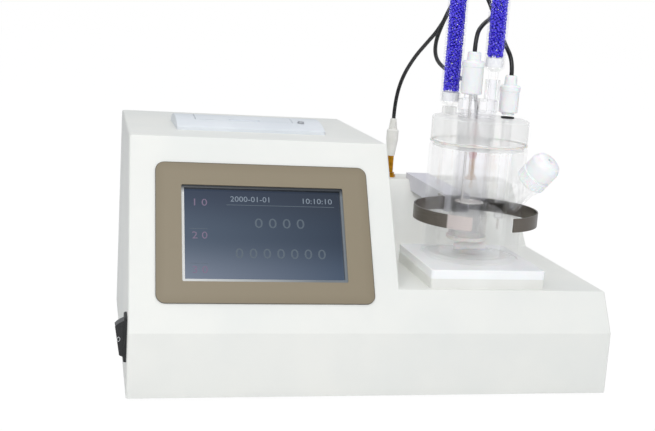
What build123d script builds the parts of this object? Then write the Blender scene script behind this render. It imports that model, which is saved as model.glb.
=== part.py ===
from build123d import *
import math
import os

# A coulometric trace-moisture titrator: a sloped-front console with a low shelf on its
# right, and on the shelf a stirrer with a glass titration cell held in an open clamp band.
# All sizes are in millimetres. The parts are drawn from the console's lower front left
# corner, with +X to the right, +Y to the back and +Z up, and set on the bench at the end.

# ------------------------------------------------------------------ console housing
body_width = 340.0
body_depth = 245.0
wall = 2.5
edge_radius = 1.6
foot_height = 2.0
ridge_height = 44.3
tower_width = 185.6
tower_height = 164.4
tower_front = 76.7
deck_height = 70.9
jack_box_depth = 32.5
jack_slope_run = 45.3
jack_box_front = body_depth - jack_box_depth
deck_back = jack_box_front - jack_slope_run
jack_box_height = 117.8
foot_radius = 9.0
foot_inset = 22.0

# ------------------------------------------------------------------ display
overlay_width = 149.7
overlay_height = 102.2
overlay_thickness = 0.8
overlay_corner = 6.5
overlay_left = 17.7
overlay_rise = 20.4
window_width = 113.8
window_height = 70.1
window_corner = 1.2
window_left = 35.4
window_rise = 35.9
frame_lip = 1.9
frame_cover = 2.6
frame_depth = 3.0
screen_thickness = 1.1
screen_margin = 2.0
module_thickness = 6.0
module_margin = 3.0
bracket_thickness = 1.2
bracket_reach = 9.0
post_radius = 3.5
fit_gap = 0.15

# ------------------------------------------------------------------ power switch
switch_front = 13.0
switch_width = 14.5
switch_bottom = 20.2
switch_height = 31.3
switch_rim = 2.0
switch_rim_width = 2.2
switch_body_depth = 24.0
rocker_gap = 0.4
rocker_reach = 8.0
rocker_pin_radius = 1.5
rocker_tilt = 9.0

# ------------------------------------------------------------------ printer
printer_left = 36.0
printer_width = 112.0
printer_front = 118.0
printer_depth = 65.0
printer_lip = 2.4
printer_height = 8.0
printer_corner = 1.6
printer_edge = 0.7
mechanism_rise = 6.0
bucket_wall = 1.6
bucket_depth = 46.0
cover_left = 51.0
cover_width = 74.0
cover_thickness = 2.6
cover_front = 134.0
cover_gap = 0.4
grip_width = 24.0
grip_reach = 4.0
grip_depth = 0.6
hinge_back = 171.0
hinge_radius = 2.2
hinge_pin_radius = 1.0
hinge_pin_length = 2.4
paper_width = 57.0
paper_radius = 14.0
paper_core_radius = 6.0
paper_axis_back = 155.5
paper_axis_drop = 24.0
spindle_radius = 3.0
platen_radius = 4.0
platen_axis_back = 141.5
platen_axis_drop = 8.5
platen_pin_radius = 1.5
head_width = 58.0
head_height = 9.0
head_depth = 6.2
head_fin_count = 4
head_fin_pitch = 1.8
head_fin_depth = 2.8
cheek_thickness = 2.0
button_radius = 2.4
button_place = (131.5, 134.5)
button_stroke = 0.8
button_depth = 3.6
button_gap = 0.25

# ------------------------------------------------------------------ stirrer and plate
cell_x = 252.7
cell_y = 69.0
plate_left = 209.1
plate_front = 20.1
plate_width = 84.7
plate_depth = 85.7
spacer_height = 7.2
plate_height = 6.3
plate_corner = 2.0
plate_dish_depth = 0.6
foot_ring_gap = 0.3
rotor_radius = 24.0
rotor_thickness = 3.6
rotor_clearance = 0.8
rotor_bay_radius = 26.0
magnet_radius = 5.0
magnet_height = 1.4
magnet_spacing = 26.0
motor_radius = 14.0
motor_length = 22.0
shaft_radius = 1.5
running_fit = 0.05

# ------------------------------------------------------------------ titration vessel
vessel_radius = 36.0
vessel_wall = 2.4
vessel_floor = 4.0
vessel_height = 85.3
vessel_base_radius = 5.0
arm_height = 52.7
arm_angle = 49.0
arm_turn = -51.0
arm_radius = 8.6
arm_bore = 6.6
arm_length = 29.0
arm_collar_start = 9.8
arm_collar_length = 3.4
arm_collar_width = 1.4
cap_radius = 11.2
cap_bore_gap = 0.08
cap_top = 5.0
cap_rib_count = 24
needle_hole_radius = 2.0
septum_thickness = 2.0
stir_bar_radius = 3.2
stir_bar_length = 25.0
loose_gap = 0.3

# ------------------------------------------------------------------ cell lid and electrodes
lid_radius = 35.4
lid_height = 17.7
lid_edge = 1.0
lid_seal_height = 0.8
lid_plug_height = 4.0
chamber_x = 250.5
chamber_y = 72.0
chamber_radius = 13.6
chamber_wall = 1.6
chamber_length = 70.5
chamber_neck_height = 4.2
chamber_flange_radius = 14.6
chamber_flange_height = 8.7
frit_height = 3.0
grid_drop = 45.0
grid_radius = 10.5
gauze_thickness = 0.4
gauze_height = 16.0
gauze_gap = 8.0
electrode_rod_radius = 1.0
cathode_neck = (-6.1, -0.6)
cathode_cap_radius = 7.7
cathode_cap_height = 28.0
cathode_tip_radius = 5.1
cathode_tip_height = 6.5
side_neck = (10.4, 1.0)
side_neck_radius = 5.6
side_neck_height = 14.8
probe_x = 274.9
probe_y = 73.0
probe_radius = 3.5
probe_length = 58.0
probe_pin_radius = 0.5
probe_pin_length = 8.0
probe_seal_height = 1.2
probe_cap_radius = 7.0
probe_cap_height = 21.7
probe_tip_radius = 4.7
probe_tip_height = 7.3
port_x = 234.6
port_y = 88.6
port_radius = 5.5
port_height = 5.5

# ------------------------------------------------------------------ drying tubes
tube_radius = 7.7
tube_wall = 1.1
tube_taper = 3.0
tube_spigot_radius = 3.0
tube_spigot_length = 7.0
left_tube_stem = 0.3
left_tube_length = 97.7
right_tube_stem = 5.5
right_tube_length = 71.2
stem_radius = 3.8
wool_height = 6.5
stopper_height = 9.0
stopper_radius = 7.7
stopper_collar = 4.0

# ------------------------------------------------------------------ clamp band
band_centre = (255.0, 69.5)
band_radius = 46.0
band_thickness = 1.0
band_bottom = 111.0
band_height = 10.0
band_gap_start = -112.0
band_gap_end = -73.0
flange_length = 14.0
flange_screw_back = 8.0
bracket_left = 245.0
bracket_width = 20.0
bracket_height = 13.0
bracket_front = 109.0
bracket_setback = 23.0
bracket_rear = body_depth - bracket_setback
screw_radius = 1.8

# ------------------------------------------------------------------ jacks, plugs and leads
jack_setback = 19.0
jack_y = body_depth - jack_setback
white_jack_from_tower = 45.4
white_jack_x = tower_width + white_jack_from_tower
red_jack_from_right = 34.0
red_jack_x = body_width - red_jack_from_right
jack_nut_radius = 5.2
jack_nut_height = 2.0
jack_barrel_radius = 3.9
jack_collar = 2.0
jack_tail = 12.0
jack_bore_radius = 1.8
plug_stem_radius = 2.6
plug_stem_height = 14.4
plug_body_radius = 5.1
plug_body_height = 23.0
plug_relief_radius = 3.0
plug_relief_height = 9.5
plug_pin_radius = jack_bore_radius - running_fit
lead_diameter = 3.2
lead_straight_start = 13.5
lead_pieces = ("white_lead", "red_lead", "white_plug", "red_plug", "plug_pins")

# ------------------------------------------------------------------ rear and inside
inlet_left = 32.0
inlet_bottom = 18.0
inlet_width = 27.0
inlet_height = 20.0
inlet_flange = 2.2
inlet_depth = 18.0
port_left = 150.0
port_bottom = 24.0
port_width = 31.0
port_depth = 12.5
rear_screw_inset = 13.0
vent_first_x = 60.0
vent_first_z = 70.0
vent_rows = 8
vent_columns = 3
vent_length = 34.0
vent_slot = 2.4
vent_pitch = 6.5
board_thickness = 1.6
standoff_height = 8.0
board_size = (150.0, 96.0)
board_corner = (20.0, 50.0)
supply_size = (88.0, 70.0)
supply_corner = (34.0, 148.0)
# each chip, connector, transformer or heat sink: right, back, width, depth, height
board_chips = [
    (20.0, 20.0, 22.0, 22.0, 2.0),
    (58.0, 24.0, 14.0, 14.0, 1.6),
    (90.0, 18.0, 30.0, 12.0, 9.0),
    (24.0, 70.0, 60.0, 9.0, 10.0),
]
supply_blocks = [
    (8.0, 14.0, 36.0, 36.0, 30.0),
    (76.0, 8.0, 4.0, 50.0, 28.0),
]
capacitor_place = (58.0, 14.0)
capacitor_pitch = 17.0
capacitor_count = 3
capacitor_radius = 6.5
capacitor_height = 24.0


# ================================================================== small helpers
def block(low, high):
    """A box between two opposite corners."""
    size = [high[i] - low[i] for i in range(3)]
    middle = [(high[i] + low[i]) / 2 for i in range(3)]
    return Pos(*middle) * Box(*size)


def post(x, y, bottom, top, radius):
    """An upright cylinder."""
    return Pos(x, y, (bottom + top) / 2) * Cylinder(radius, top - bottom)


def ring(x, y, bottom, top, outer, inner):
    """An upright ring."""
    return post(x, y, bottom, top, outer) - post(x, y, bottom - 1, top + 1, inner)


def side_prism(points, left, right):
    """A prism whose outline lies in the YZ plane, running from x = left to x = right."""
    face = Plane.YZ.offset(left) * make_face(Polyline(*points, close=True))
    return extrude(face, amount=right - left, dir=(1, 0, 0))


def cross_rod(x0, x1, y, z, radius):
    """A cylinder along X."""
    return Pos((x0 + x1) / 2, y, z) * Rot(0, 90, 0) * Cylinder(radius, x1 - x0)


def turned(points, x, y, z):
    """A solid of revolution about an upright axis, from (radius, height) points."""
    face = Plane.XZ * make_face(Polyline(*points, close=True))
    return Pos(x, y, z) * revolve(face, Axis.Z)


def inset(points, distance):
    """The outline moved inwards by a distance; corners are mitred."""
    moved = []
    count = len(points)
    for i in range(count):
        before = points[i - 1]
        here = points[i]
        after = points[(i + 1) % count]
        a = unit(before, here)
        b = unit(here, after)
        normal_a = (a[1], -a[0])
        normal_b = (b[1], -b[0])
        scale = distance / (1 + normal_a[0] * normal_b[0] + normal_a[1] * normal_b[1])
        y = here[0] + scale * (normal_a[0] + normal_b[0])
        z = here[1] + scale * (normal_a[1] + normal_b[1])
        moved.append((y, z))
    return moved


def unit(start, end):
    """The direction from one point of an outline to the next, of length one."""
    step = (end[0] - start[0], end[1] - start[1])
    length = math.hypot(*step)
    return (step[0] / length, step[1] / length)


# ================================================================== derived places
slope_run = tower_front
slope_rise = tower_height - ridge_height
deck_front = slope_run * (deck_height - ridge_height) / slope_rise
slope_plane = Plane(
    origin=(0, 0, ridge_height),
    x_dir=(1, 0, 0),
    z_dir=(0, -slope_rise, slope_run),
)

tower_outline = [
    (0, 0),
    (0, ridge_height),
    (tower_front, tower_height),
    (body_depth, tower_height),
    (body_depth, 0),
]
shelf_outline = [
    (0, 0),
    (0, ridge_height),
    (deck_front, deck_height),
    (deck_back, deck_height),
    (jack_box_front, jack_box_height),
    (body_depth, jack_box_height),
    (body_depth, 0),
]
tower_inner = inset(tower_outline, wall)
shelf_inner = inset(shelf_outline, wall)

plate_top = deck_height + spacer_height + plate_height
vessel_bottom = plate_top - plate_dish_depth
vessel_top = vessel_bottom + vessel_height
lid_bottom = vessel_top + lid_seal_height
lid_top = lid_bottom + lid_height
printer_crest = tower_height + printer_height
printer_top = tower_height + mechanism_rise


# ================================================================== housing
def outer_form():
    """The console's outside, solid, with its long edges rounded."""
    tower = side_prism(tower_outline, 0, tower_width)
    shelf = side_prism(shelf_outline, tower_width, body_width)
    form = (tower + shelf).clean()

    def rounded(edge):
        middle = edge.center()
        box = edge.bounding_box()
        on_bench = box.max.Z < 0.01
        return not on_bench and on_outside(edge, middle, box)

    return fillet([e for e in form.edges() if rounded(e)], edge_radius)


def on_outside(edge, middle, box):
    """Tell the convex edges that are rounded from the inside corners and the rear skirts."""
    along_x = box.size.Y < 0.01 and box.size.Z < 0.01
    if along_x:
        corners = [
            tower_outline[1],
            tower_outline[2],
            tower_outline[3],
            shelf_outline[2],
            shelf_outline[4],
            shelf_outline[5],
        ]
        return any(math.hypot(middle.Y - y, middle.Z - z) < 0.01 for y, z in corners)
    at_side = middle.X < 0.01 or middle.X > body_width - 0.01
    at_tower = abs(middle.X - tower_width) < 0.01
    if at_side:
        return True
    above_deck = middle.Z > deck_height + 1 and box.max.Z > jack_box_height + 1
    on_slope = middle.Y < tower_front + 0.01
    on_top = box.min.Z > tower_height - 0.01
    on_back = middle.Y > body_depth - 0.01
    return at_tower and above_deck and (on_slope or on_top or on_back)


def sheet(outline, inner, first, last, left, right):
    """One mitred strip of the housing's wall, between two corners of its outline."""
    points = [outline[first], outline[last], inner[last], inner[first]]
    return side_prism(points, left, right)


def housing_parts():
    """Cut the housing into the sheets it is made of."""
    form = outer_form()
    left_edge = wall
    right_edge = body_width - wall
    step_edge = tower_width - wall
    back_edge = body_depth - wall

    left_side = side_prism(tower_outline, 0, wall) & form
    right_side = side_prism(shelf_outline, right_edge, body_width) & form

    front = sheet(tower_outline, tower_inner, 0, 1, left_edge, right_edge)
    front += sheet(tower_outline, tower_inner, 1, 2, left_edge, step_edge)
    front += sheet(shelf_outline, shelf_inner, 1, 2, step_edge, right_edge)
    front = (front & form).clean()

    top = sheet(tower_outline, tower_inner, 2, 3, left_edge, step_edge) & form

    deck = sheet(shelf_outline, shelf_inner, 2, 3, step_edge, right_edge)
    deck += sheet(shelf_outline, shelf_inner, 3, 4, step_edge, right_edge)
    deck += sheet(shelf_outline, shelf_inner, 4, 5, step_edge, right_edge)
    deck = (deck & form).clean()

    step = side_prism(tower_outline, step_edge, tower_width)
    step -= side_prism(shelf_outline, step_edge - 1, tower_width + 1)
    step = step & form

    rear = block((left_edge, back_edge, wall), (step_edge, body_depth, tower_height))
    rear += block((step_edge, back_edge, wall), (right_edge, body_depth, jack_box_height))
    rear -= top
    rear -= deck
    rear = (rear & form).clean()

    tray = block((left_edge, wall, 0), (right_edge, body_depth, wall)) & form
    tray -= front
    return {
        "left_side": left_side,
        "right_side": right_side,
        "front_shell": front,
        "tower_top": top,
        "deck_shelf": deck,
        "tower_wall": step,
        "rear_panel": rear,
        "base_tray": tray,
    }


def slope_block(left, bottom, width, height, low, high, corner=0.0):
    """A plate lying on the sloped front: low and high are depths along its normal."""
    outline = Rectangle(width, height)
    if corner > 0:
        outline = RectangleRounded(width, height, corner)
    centre = Pos(left + width / 2, bottom + height / 2, low)
    return slope_plane * (centre * extrude(outline, amount=high - low))


# ================================================================== display
def display_overlay():
    """The bronze membrane round the display."""
    plate = slope_block(
        overlay_left, overlay_rise, overlay_width, overlay_height, 0, overlay_thickness, overlay_corner
    )
    window = slope_block(
        window_left, window_rise, window_width, window_height, -1, overlay_thickness + 1, window_corner
    )
    return plate - window


def around_window(margin, low, high, corner=0.0):
    """A plate that is larger than the display window by a margin on every side."""
    return slope_block(
        window_left - margin,
        window_rise - margin,
        window_width + 2 * margin,
        window_height + 2 * margin,
        low,
        high,
        corner,
    )


def display_frame():
    """The metal frame in the cut-out, which shows as a thin lip inside the window."""
    outer = around_window(frame_cover, -frame_depth, 0, window_corner + frame_cover)
    opening = around_window(-frame_lip, -frame_depth - 1, 1)
    return outer - opening


def display_cut():
    """The hole that the frame sits in."""
    return around_window(frame_cover + fit_gap, -wall - 1, 1, window_corner + frame_cover)


def touch_screen():
    """The glass behind the frame."""
    return around_window(screen_margin, -frame_depth - screen_thickness, -frame_depth)


def display_module():
    """The display's metal can behind the glass, with a back plate that reaches four posts."""
    high = -frame_depth - screen_thickness
    low = high - module_thickness
    can = around_window(module_margin, low, high)
    can += around_window(module_margin + bracket_reach, low - bracket_thickness, low)
    for x, rise in post_places():
        can -= slope_plane * (Pos(x, rise, low) * Cylinder(screw_radius, 6))
    return can




def post_places():
    """The four posts round the display, as x and distance up the slope."""
    reach = module_margin + bracket_reach - post_radius - 0.6
    xs = (window_left - reach, window_left + window_width + reach)
    rises = (window_rise - reach, window_rise + window_height + reach)
    return [(x, rise) for x in xs for rise in rises]


def display_posts():
    """Posts moulded on the back of the front shell."""
    low = -frame_depth - screen_thickness - module_thickness
    length = -wall - low
    posts = None
    for x, rise in post_places():
        one = slope_plane * (Pos(x, rise, low + length / 2) * Cylinder(post_radius, length))
        posts = one if posts is None else posts + one
    return posts


def display_screws():
    """Pan-head screws through the strap into the posts."""
    high = -frame_depth - screen_thickness - module_thickness - bracket_thickness
    screws = []
    for x, rise in post_places():
        head = slope_plane * (Pos(x, rise, high - 0.9) * Cylinder(3.2, 1.8))
        stem = slope_plane * (Pos(x, rise, high + bracket_thickness / 2) * Cylinder(1.4, bracket_thickness))
        screws.append(head + stem)
    return screws


# ================================================================== power switch
def switch_middle():
    """The centre of the switch on the left side, as y and z."""
    return (switch_front + switch_width / 2, switch_bottom + switch_height / 2)


def rocker_radius():
    """The rocker's ends are one cylinder about its pin, so they clear the rim at any tilt."""
    return switch_height / 2 - switch_rim_width - rocker_gap


def switch_opening(back):
    """The hollow in the rim that the rocker tips in."""
    y, z = switch_middle()
    half_width = switch_width / 2 - switch_rim_width
    half_height = switch_height / 2 - switch_rim_width
    return block((-switch_rim - 1, y - half_width, z - half_height), (back, y + half_width, z + half_height))


def switch_hole(margin):
    """The switch body's outline, larger by a margin, through the side panel and behind it."""
    y, z = switch_middle()
    half_width = switch_width / 2 - 1.0 + margin
    half_height = switch_height / 2 - 1.0 + margin
    return half_width, half_height, y, z


def switch_housing():
    """Rim and body of the rocker switch, with its three tabs."""
    half_width, half_height, y, z = switch_hole(0.0)
    rim = block(
        (-switch_rim, switch_front, switch_bottom),
        (0, switch_front + switch_width, switch_bottom + switch_height),
    )
    rim = fillet(rim.edges().filter_by(Axis.X), 1.2)
    rim = chamfer(rim.faces().sort_by(Axis.X)[0].edges(), 0.6)
    body = block((0, y - half_width, z - half_height), (switch_body_depth, y + half_width, z + half_height))
    housing = rim + body
    housing -= switch_opening(wall + 9.5)
    housing -= Pos(rocker_pin_place(), y, z) * Rot(90, 0, 0) * Cylinder(
        rocker_pin_radius + running_fit, switch_width - 2 * switch_rim_width + 1.6
    )
    for step in (-1, 0, 1):
        tab_z = z + step * 9.0
        housing += block(
            (switch_body_depth, y - 3.0, tab_z - 0.4), (switch_body_depth + 8.0, y + 3.0, tab_z + 0.4)
        )
    return housing


def rocker_pin_place():
    """The x of the rocker's pin."""
    return wall - 0.5


def power_rocker():
    """The rocker: flat-faced, with round ends about its pin, its top tipped outwards."""
    y, z = switch_middle()
    radius = rocker_radius()
    half_width = switch_width / 2 - switch_rim_width - rocker_gap
    face = rocker_reach + rocker_pin_place() - radius * math.sin(math.radians(rocker_tilt)) * 0.8
    drum = Rot(90, 0, 0) * Cylinder(radius, 2 * half_width)
    drum &= block((-face, -half_width, -radius), (3.0, half_width, radius))
    scoop = Pos(-face - 78.0, 0, 0) * Rot(90, 0, 0) * Cylinder(79.0, 2 * half_width - 2.4)
    drum -= scoop
    pin = Rot(90, 0, 0) * Cylinder(rocker_pin_radius, 2 * half_width + 2 * rocker_gap + 1.4)
    rocker = drum + pin
    return Pos(rocker_pin_place(), y, z) * Rot(0, -rocker_tilt, 0) * rocker


# ================================================================== printer
def cover_opening(bottom, margin=0.0):
    """The printer's opening from a depth to above its top."""
    low = (cover_left - cover_gap - margin, cover_front - cover_gap - margin, bottom)
    back = hinge_back + hinge_radius + cover_gap + margin
    high = (cover_left + cover_width + cover_gap + margin, back, printer_crest + 1)
    return block(low, high)


def printer_middle():
    """The y of the crest of the printer's arched top."""
    return printer_front + printer_depth / 2


def arch_radius():
    """The radius of the arch that joins the low lips at the printer's front and back."""
    rise = printer_height - printer_lip
    return ((printer_depth / 2) ** 2 + rise**2) / (2 * rise)


def arch(left, right, depth=0.0):
    """The cylinder whose upper side is the arched top, or lies a depth below it."""
    radius = arch_radius()
    return cross_rod(left, right, printer_middle(), printer_crest - radius, radius - depth)


def crown(y):
    """The height of the arched top at a distance from the front."""
    radius = arch_radius()
    return printer_crest - radius + math.sqrt(radius**2 - (y - printer_middle()) ** 2)


def printer_case():
    """The low arched housing on the tower's top, in one moulding with the paper bucket."""
    right = printer_left + printer_width
    low = (printer_left, printer_front, tower_height)
    case = block(low, (right, printer_front + printer_depth, printer_crest))
    case = fillet(case.edges().filter_by(Axis.Z), printer_corner)
    case &= arch(printer_left - 1, right + 1)
    case = fillet(case.faces().sort_by(Axis.Z)[-1].edges(), printer_edge)
    bottom = printer_top - bucket_depth
    bucket = cover_opening(bottom, bucket_wall) & block((0, 0, 0), (body_width, body_depth, tower_height))
    case += bucket
    case -= cover_opening(bottom + bucket_wall)
    x0 = cover_left - cover_gap - hinge_pin_length + 0.2
    x1 = cover_left + cover_width + cover_gap + hinge_pin_length - 0.2
    case -= cross_rod(x0, x1, hinge_back, hinge_axis_height(), hinge_pin_radius + running_fit)
    reach = spindle_reach() + 0.2
    case -= cross_rod(
        printer_centre() - reach,
        printer_centre() + reach,
        paper_axis_back,
        printer_top - paper_axis_drop,
        spindle_radius + running_fit,
    )
    x, y = button_place
    case -= post(x, y, button_top() - button_depth - 1, printer_crest + 1, button_radius + button_gap)
    return case


def printer_centre():
    """The x of the middle of the printer's cover and paper."""
    return cover_left + cover_width / 2


def hinge_axis_height():
    """The height of the cover's hinge, whose barrel lies flush with the arch."""
    return crown(hinge_back) - hinge_radius


def spindle_reach():
    """Half the length of the paper spindle, whose ends turn in the bucket's sides."""
    return cover_width / 2 + cover_gap + 1.2


def printer_cover():
    """The cover with its hinge barrel and the two cheeks that carry the platen."""
    right = cover_left + cover_width
    plate = block((cover_left, cover_front, tower_height), (right, hinge_back, printer_crest))
    plate &= arch(cover_left, right)
    plate -= arch(cover_left - 1, right + 1, cover_thickness)
    cover = plate + cross_rod(cover_left, right, hinge_back, hinge_axis_height(), hinge_radius)
    cover += cross_rod(
        cover_left - cover_gap - hinge_pin_length + 0.5,
        right + cover_gap + hinge_pin_length - 0.5,
        hinge_back,
        hinge_axis_height(),
        hinge_pin_radius,
    )
    axis_z = printer_top - platen_axis_drop
    for side in (-1, 1):
        x = printer_centre() + side * (paper_width / 2 + 1.5 + cheek_thickness / 2)
        cheek = block(
            (x - cheek_thickness / 2, platen_axis_back - 3.6, axis_z - 3.4),
            (x + cheek_thickness / 2, platen_axis_back + 3.6, crown(platen_axis_back) - cover_thickness / 2),
        )
        cover += cheek
    cover -= cross_rod(
        printer_centre() - paper_width / 2 - 5,
        printer_centre() + paper_width / 2 + 5,
        platen_axis_back,
        axis_z,
        platen_pin_radius + running_fit,
    )
    grip = block(
        (printer_centre() - grip_width / 2, cover_front - 1, crown(cover_front) - grip_depth),
        (printer_centre() + grip_width / 2, cover_front + grip_reach, printer_crest + 1),
    )
    return cover - grip


def platen_roller():
    """The rubber roller that feeds the paper, turning in the cover's cheeks."""
    x = printer_centre()
    z = printer_top - platen_axis_drop
    half = paper_width / 2 + 1.1
    roller = cross_rod(x - half, x + half, platen_axis_back, z, platen_radius)
    pin_half = paper_width / 2 + 1.5 + cheek_thickness
    return roller + cross_rod(x - pin_half, x + pin_half, platen_axis_back, z, platen_pin_radius)


def print_head():
    """The thermal head on its heat sink, just under the platen."""
    x = printer_centre()
    top = printer_top - platen_axis_drop - platen_radius - loose_gap
    front = cover_front - cover_gap
    half = head_width / 2
    sink = block((x - half, front, top - head_height), (x + half, front + head_depth, top))
    for fin in range(head_fin_count):
        z = top - head_height + (fin + 1) * head_fin_pitch
        low = (x - half - 1, front + head_depth - head_fin_depth, z)
        sink -= block(low, (x + half + 1, front + head_depth + 1, z + head_fin_pitch / 2))
    return sink


def paper_roll():
    """A roll of thermal paper wound on its spindle."""
    x = printer_centre()
    z = printer_top - paper_axis_drop
    reach = spindle_reach()
    roll = cross_rod(x - paper_width / 2, x + paper_width / 2, paper_axis_back, z, paper_radius)
    half_hub = paper_width / 2 + 1.0
    hub = cross_rod(x - half_hub, x + half_hub, paper_axis_back, z, paper_core_radius)
    return roll + hub + cross_rod(x - reach, x + reach, paper_axis_back, z, spindle_radius)


def button_top():
    """The height of the feed button, just above the arch at its back by its travel."""
    return crown(button_place[1] + button_radius) + button_stroke + 0.1


def feed_button():
    """The paper feed button, proud of the printer's top by its travel."""
    x, y = button_place
    high = button_top()
    button = post(x, y, high - button_depth, high, button_radius)
    return chamfer(button.edges().sort_by(Axis.Z)[-1:], 0.4)


# ================================================================== stirrer and cell plate
def stirrer_base():
    """The beige spacer under the plate, with a round bay for the stirring magnet."""
    spacer = block(
        (plate_left, plate_front, deck_height),
        (plate_left + plate_width, plate_front + plate_depth, deck_height + spacer_height),
    )
    spacer = fillet(spacer.edges().filter_by(Axis.Z), plate_corner)
    return spacer - post(cell_x, cell_y, deck_height - 1, deck_height + spacer_height + 1, rotor_bay_radius)


def cell_plate():
    """The white plate, dished for the foot of the vessel."""
    low = deck_height + spacer_height
    plate = block(
        (plate_left, plate_front, low), (plate_left + plate_width, plate_front + plate_depth, plate_top)
    )
    plate = fillet(plate.edges().filter_by(Axis.Z), plate_corner)
    plate = chamfer(plate.faces().sort_by(Axis.Z)[-1].edges(), 0.5)
    return plate - post(cell_x, cell_y, vessel_bottom, plate_top + 1, vessel_radius + foot_ring_gap)


def stirrer_motor():
    """The stirring motor, hung under the deck with its boss in the deck's hole."""
    top = deck_height - wall
    motor = post(cell_x, cell_y, top - motor_length, top, motor_radius)
    motor += post(cell_x, cell_y, top, deck_height - 0.4, 4.0)
    motor += post(cell_x, cell_y, top - motor_length - 2.0, top - motor_length, 5.0)
    return motor - post(cell_x, cell_y, top - motor_length + 4.0, deck_height + 1, shaft_radius + running_fit)


def stirrer_rotor():
    """The motor's shaft and the disc, with the two driving magnets bonded on it."""
    low = deck_height + rotor_clearance
    disc = post(cell_x, cell_y, low, low + rotor_thickness, rotor_radius)
    shaft = post(cell_x, cell_y, deck_height - wall - motor_length + 6.0, low + 0.5, shaft_radius)
    rotor = disc + shaft
    for side in (-1, 1):
        x = cell_x + side * magnet_spacing / 2
        rotor += post(x, cell_y, low + rotor_thickness, low + rotor_thickness + magnet_height, magnet_radius)
    return rotor


# ================================================================== titration vessel
def arm_frame():
    """The side arm's own plane: origin on the vessel's wall, Z out along the arm."""
    turn = math.radians(arm_turn)
    rise = math.radians(arm_angle)
    origin = (
        cell_x + vessel_radius * math.cos(turn),
        cell_y + vessel_radius * math.sin(turn),
        vessel_bottom + arm_height,
    )
    direction = (
        math.cos(rise) * math.cos(turn),
        math.cos(rise) * math.sin(turn),
        math.sin(rise),
    )
    return Plane(origin=origin, x_dir=(-math.sin(turn), math.cos(turn), 0), z_dir=direction)


def arm_post(start, end, radius):
    """A cylinder along the side arm."""
    return arm_frame() * (Pos(0, 0, (start + end) / 2) * Cylinder(radius, end - start))


def cell_vessel():
    """The glass vessel: round foot, straight wall and a side arm that opens into it."""
    outside = post(cell_x, cell_y, vessel_bottom, vessel_top, vessel_radius)
    outside = fillet(outside.edges().sort_by(Axis.Z)[:1], vessel_base_radius)
    arm = arm_post(-12.0, arm_length, arm_radius)
    arm += arm_post(arm_collar_start, arm_collar_start + arm_collar_length, arm_radius + arm_collar_width)
    inside = post(cell_x, cell_y, vessel_bottom + vessel_floor, vessel_top + 1, vessel_radius - vessel_wall)
    inside = fillet(inside.edges().sort_by(Axis.Z)[:1], vessel_base_radius - vessel_wall)
    bore = arm_post(-14.0, arm_length + 1, arm_bore)
    return outside + arm - inside - bore


def septum():
    """The rubber disc that the sample needle pierces, on the arm's mouth."""
    return arm_post(arm_length, arm_length + septum_thickness, arm_radius - 0.2)


def septum_cap():
    """The white screw cap: ribbed skirt, plain shoulder, round nose with a needle hole."""
    start = arm_collar_start + arm_collar_length + loose_gap
    end = arm_length + septum_thickness + cap_top
    length = end - start
    points = [
        (arm_radius + cap_bore_gap, 0),
        (cap_radius - 0.7, 0),
        (cap_radius, 0.8),
        (cap_radius, length * 0.34),
        (cap_radius - 0.9, length * 0.36),
        (cap_radius - 0.9, length * 0.42),
        (cap_radius - 0.1, length * 0.44),
        (cap_radius - 0.3, length - 5.0),
        (cap_radius - 2.2, length - 1.3),
        (cap_radius - 4.6, length),
        (needle_hole_radius, length),
        (needle_hole_radius, length - cap_top + 0.3),
        (arm_radius + cap_bore_gap, length - cap_top + 0.3),
    ]
    face = Plane.XZ * make_face(Polyline(*points, close=True))
    cap = revolve(face, Axis.Z)
    for step in range(cap_rib_count):
        angle = 360.0 * step / cap_rib_count
        flute = Pos(cap_radius + 0.35, 0, length * 0.17) * Cylinder(0.8, length * 0.34 - 2.0)
        cap -= Rot(0, 0, angle) * flute
    return arm_frame() * (Pos(0, 0, start) * cap)


def stir_bar():
    """The stirring bar, lying on the vessel's floor with a pivot ring round its middle."""
    z = vessel_bottom + vessel_floor + stir_bar_radius + 0.3
    half = stir_bar_length / 2
    bar = cross_rod(cell_x - half, cell_x + half, cell_y, z, stir_bar_radius - 0.3)
    bar = fillet(bar.edges().filter_by(GeomType.CIRCLE), 1.6)
    return bar + cross_rod(cell_x - 1.6, cell_x + 1.6, cell_y, z, stir_bar_radius)


# ================================================================== lid, electrodes
def cell_lid():
    """The thick clear lid: a spigot into the vessel, a tube port and holes for the electrodes."""
    lid = post(cell_x, cell_y, lid_bottom, lid_top, lid_radius)
    lid = chamfer(lid.edges(), lid_edge)
    spigot_radius = vessel_radius - vessel_wall - loose_gap
    lid += post(cell_x, cell_y, lid_bottom - lid_plug_height, lid_bottom, spigot_radius)
    low = lid_bottom - lid_plug_height - 1
    lid -= post(chamber_x, chamber_y, low, lid_top + 1, chamber_radius + fit_gap)
    lid -= post(probe_x, probe_y, low, lid_top + 1, probe_radius + fit_gap)
    lid += post(port_x, port_y, lid_top, lid_top + port_height, port_radius)
    return lid - post(port_x, port_y, low, lid_top + port_height + 1, tube_spigot_radius + fit_gap)


def lid_seal():
    """The flat ring between the vessel's rim and the lid."""
    outer = vessel_radius - 0.3
    return ring(cell_x, cell_y, vessel_top, lid_bottom, outer, vessel_radius - vessel_wall)


def chamber_bottom():
    """The height of the open lower end of the cathode chamber."""
    return lid_bottom - chamber_length


def cathode_chamber():
    """The glass tube of the cathode chamber, through the lid."""
    top = lid_top + chamber_neck_height
    return ring(chamber_x, chamber_y, chamber_bottom(), top, chamber_radius, chamber_radius - chamber_wall)


def chamber_frit():
    """The porous disc fused across the chamber's lower end, with its rounded rim."""
    low = chamber_bottom() - frit_height
    disc = post(chamber_x, chamber_y, low, chamber_bottom(), chamber_radius + 1.2)
    return fillet(disc.edges().sort_by(Axis.Z)[:1], 1.2)


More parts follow.
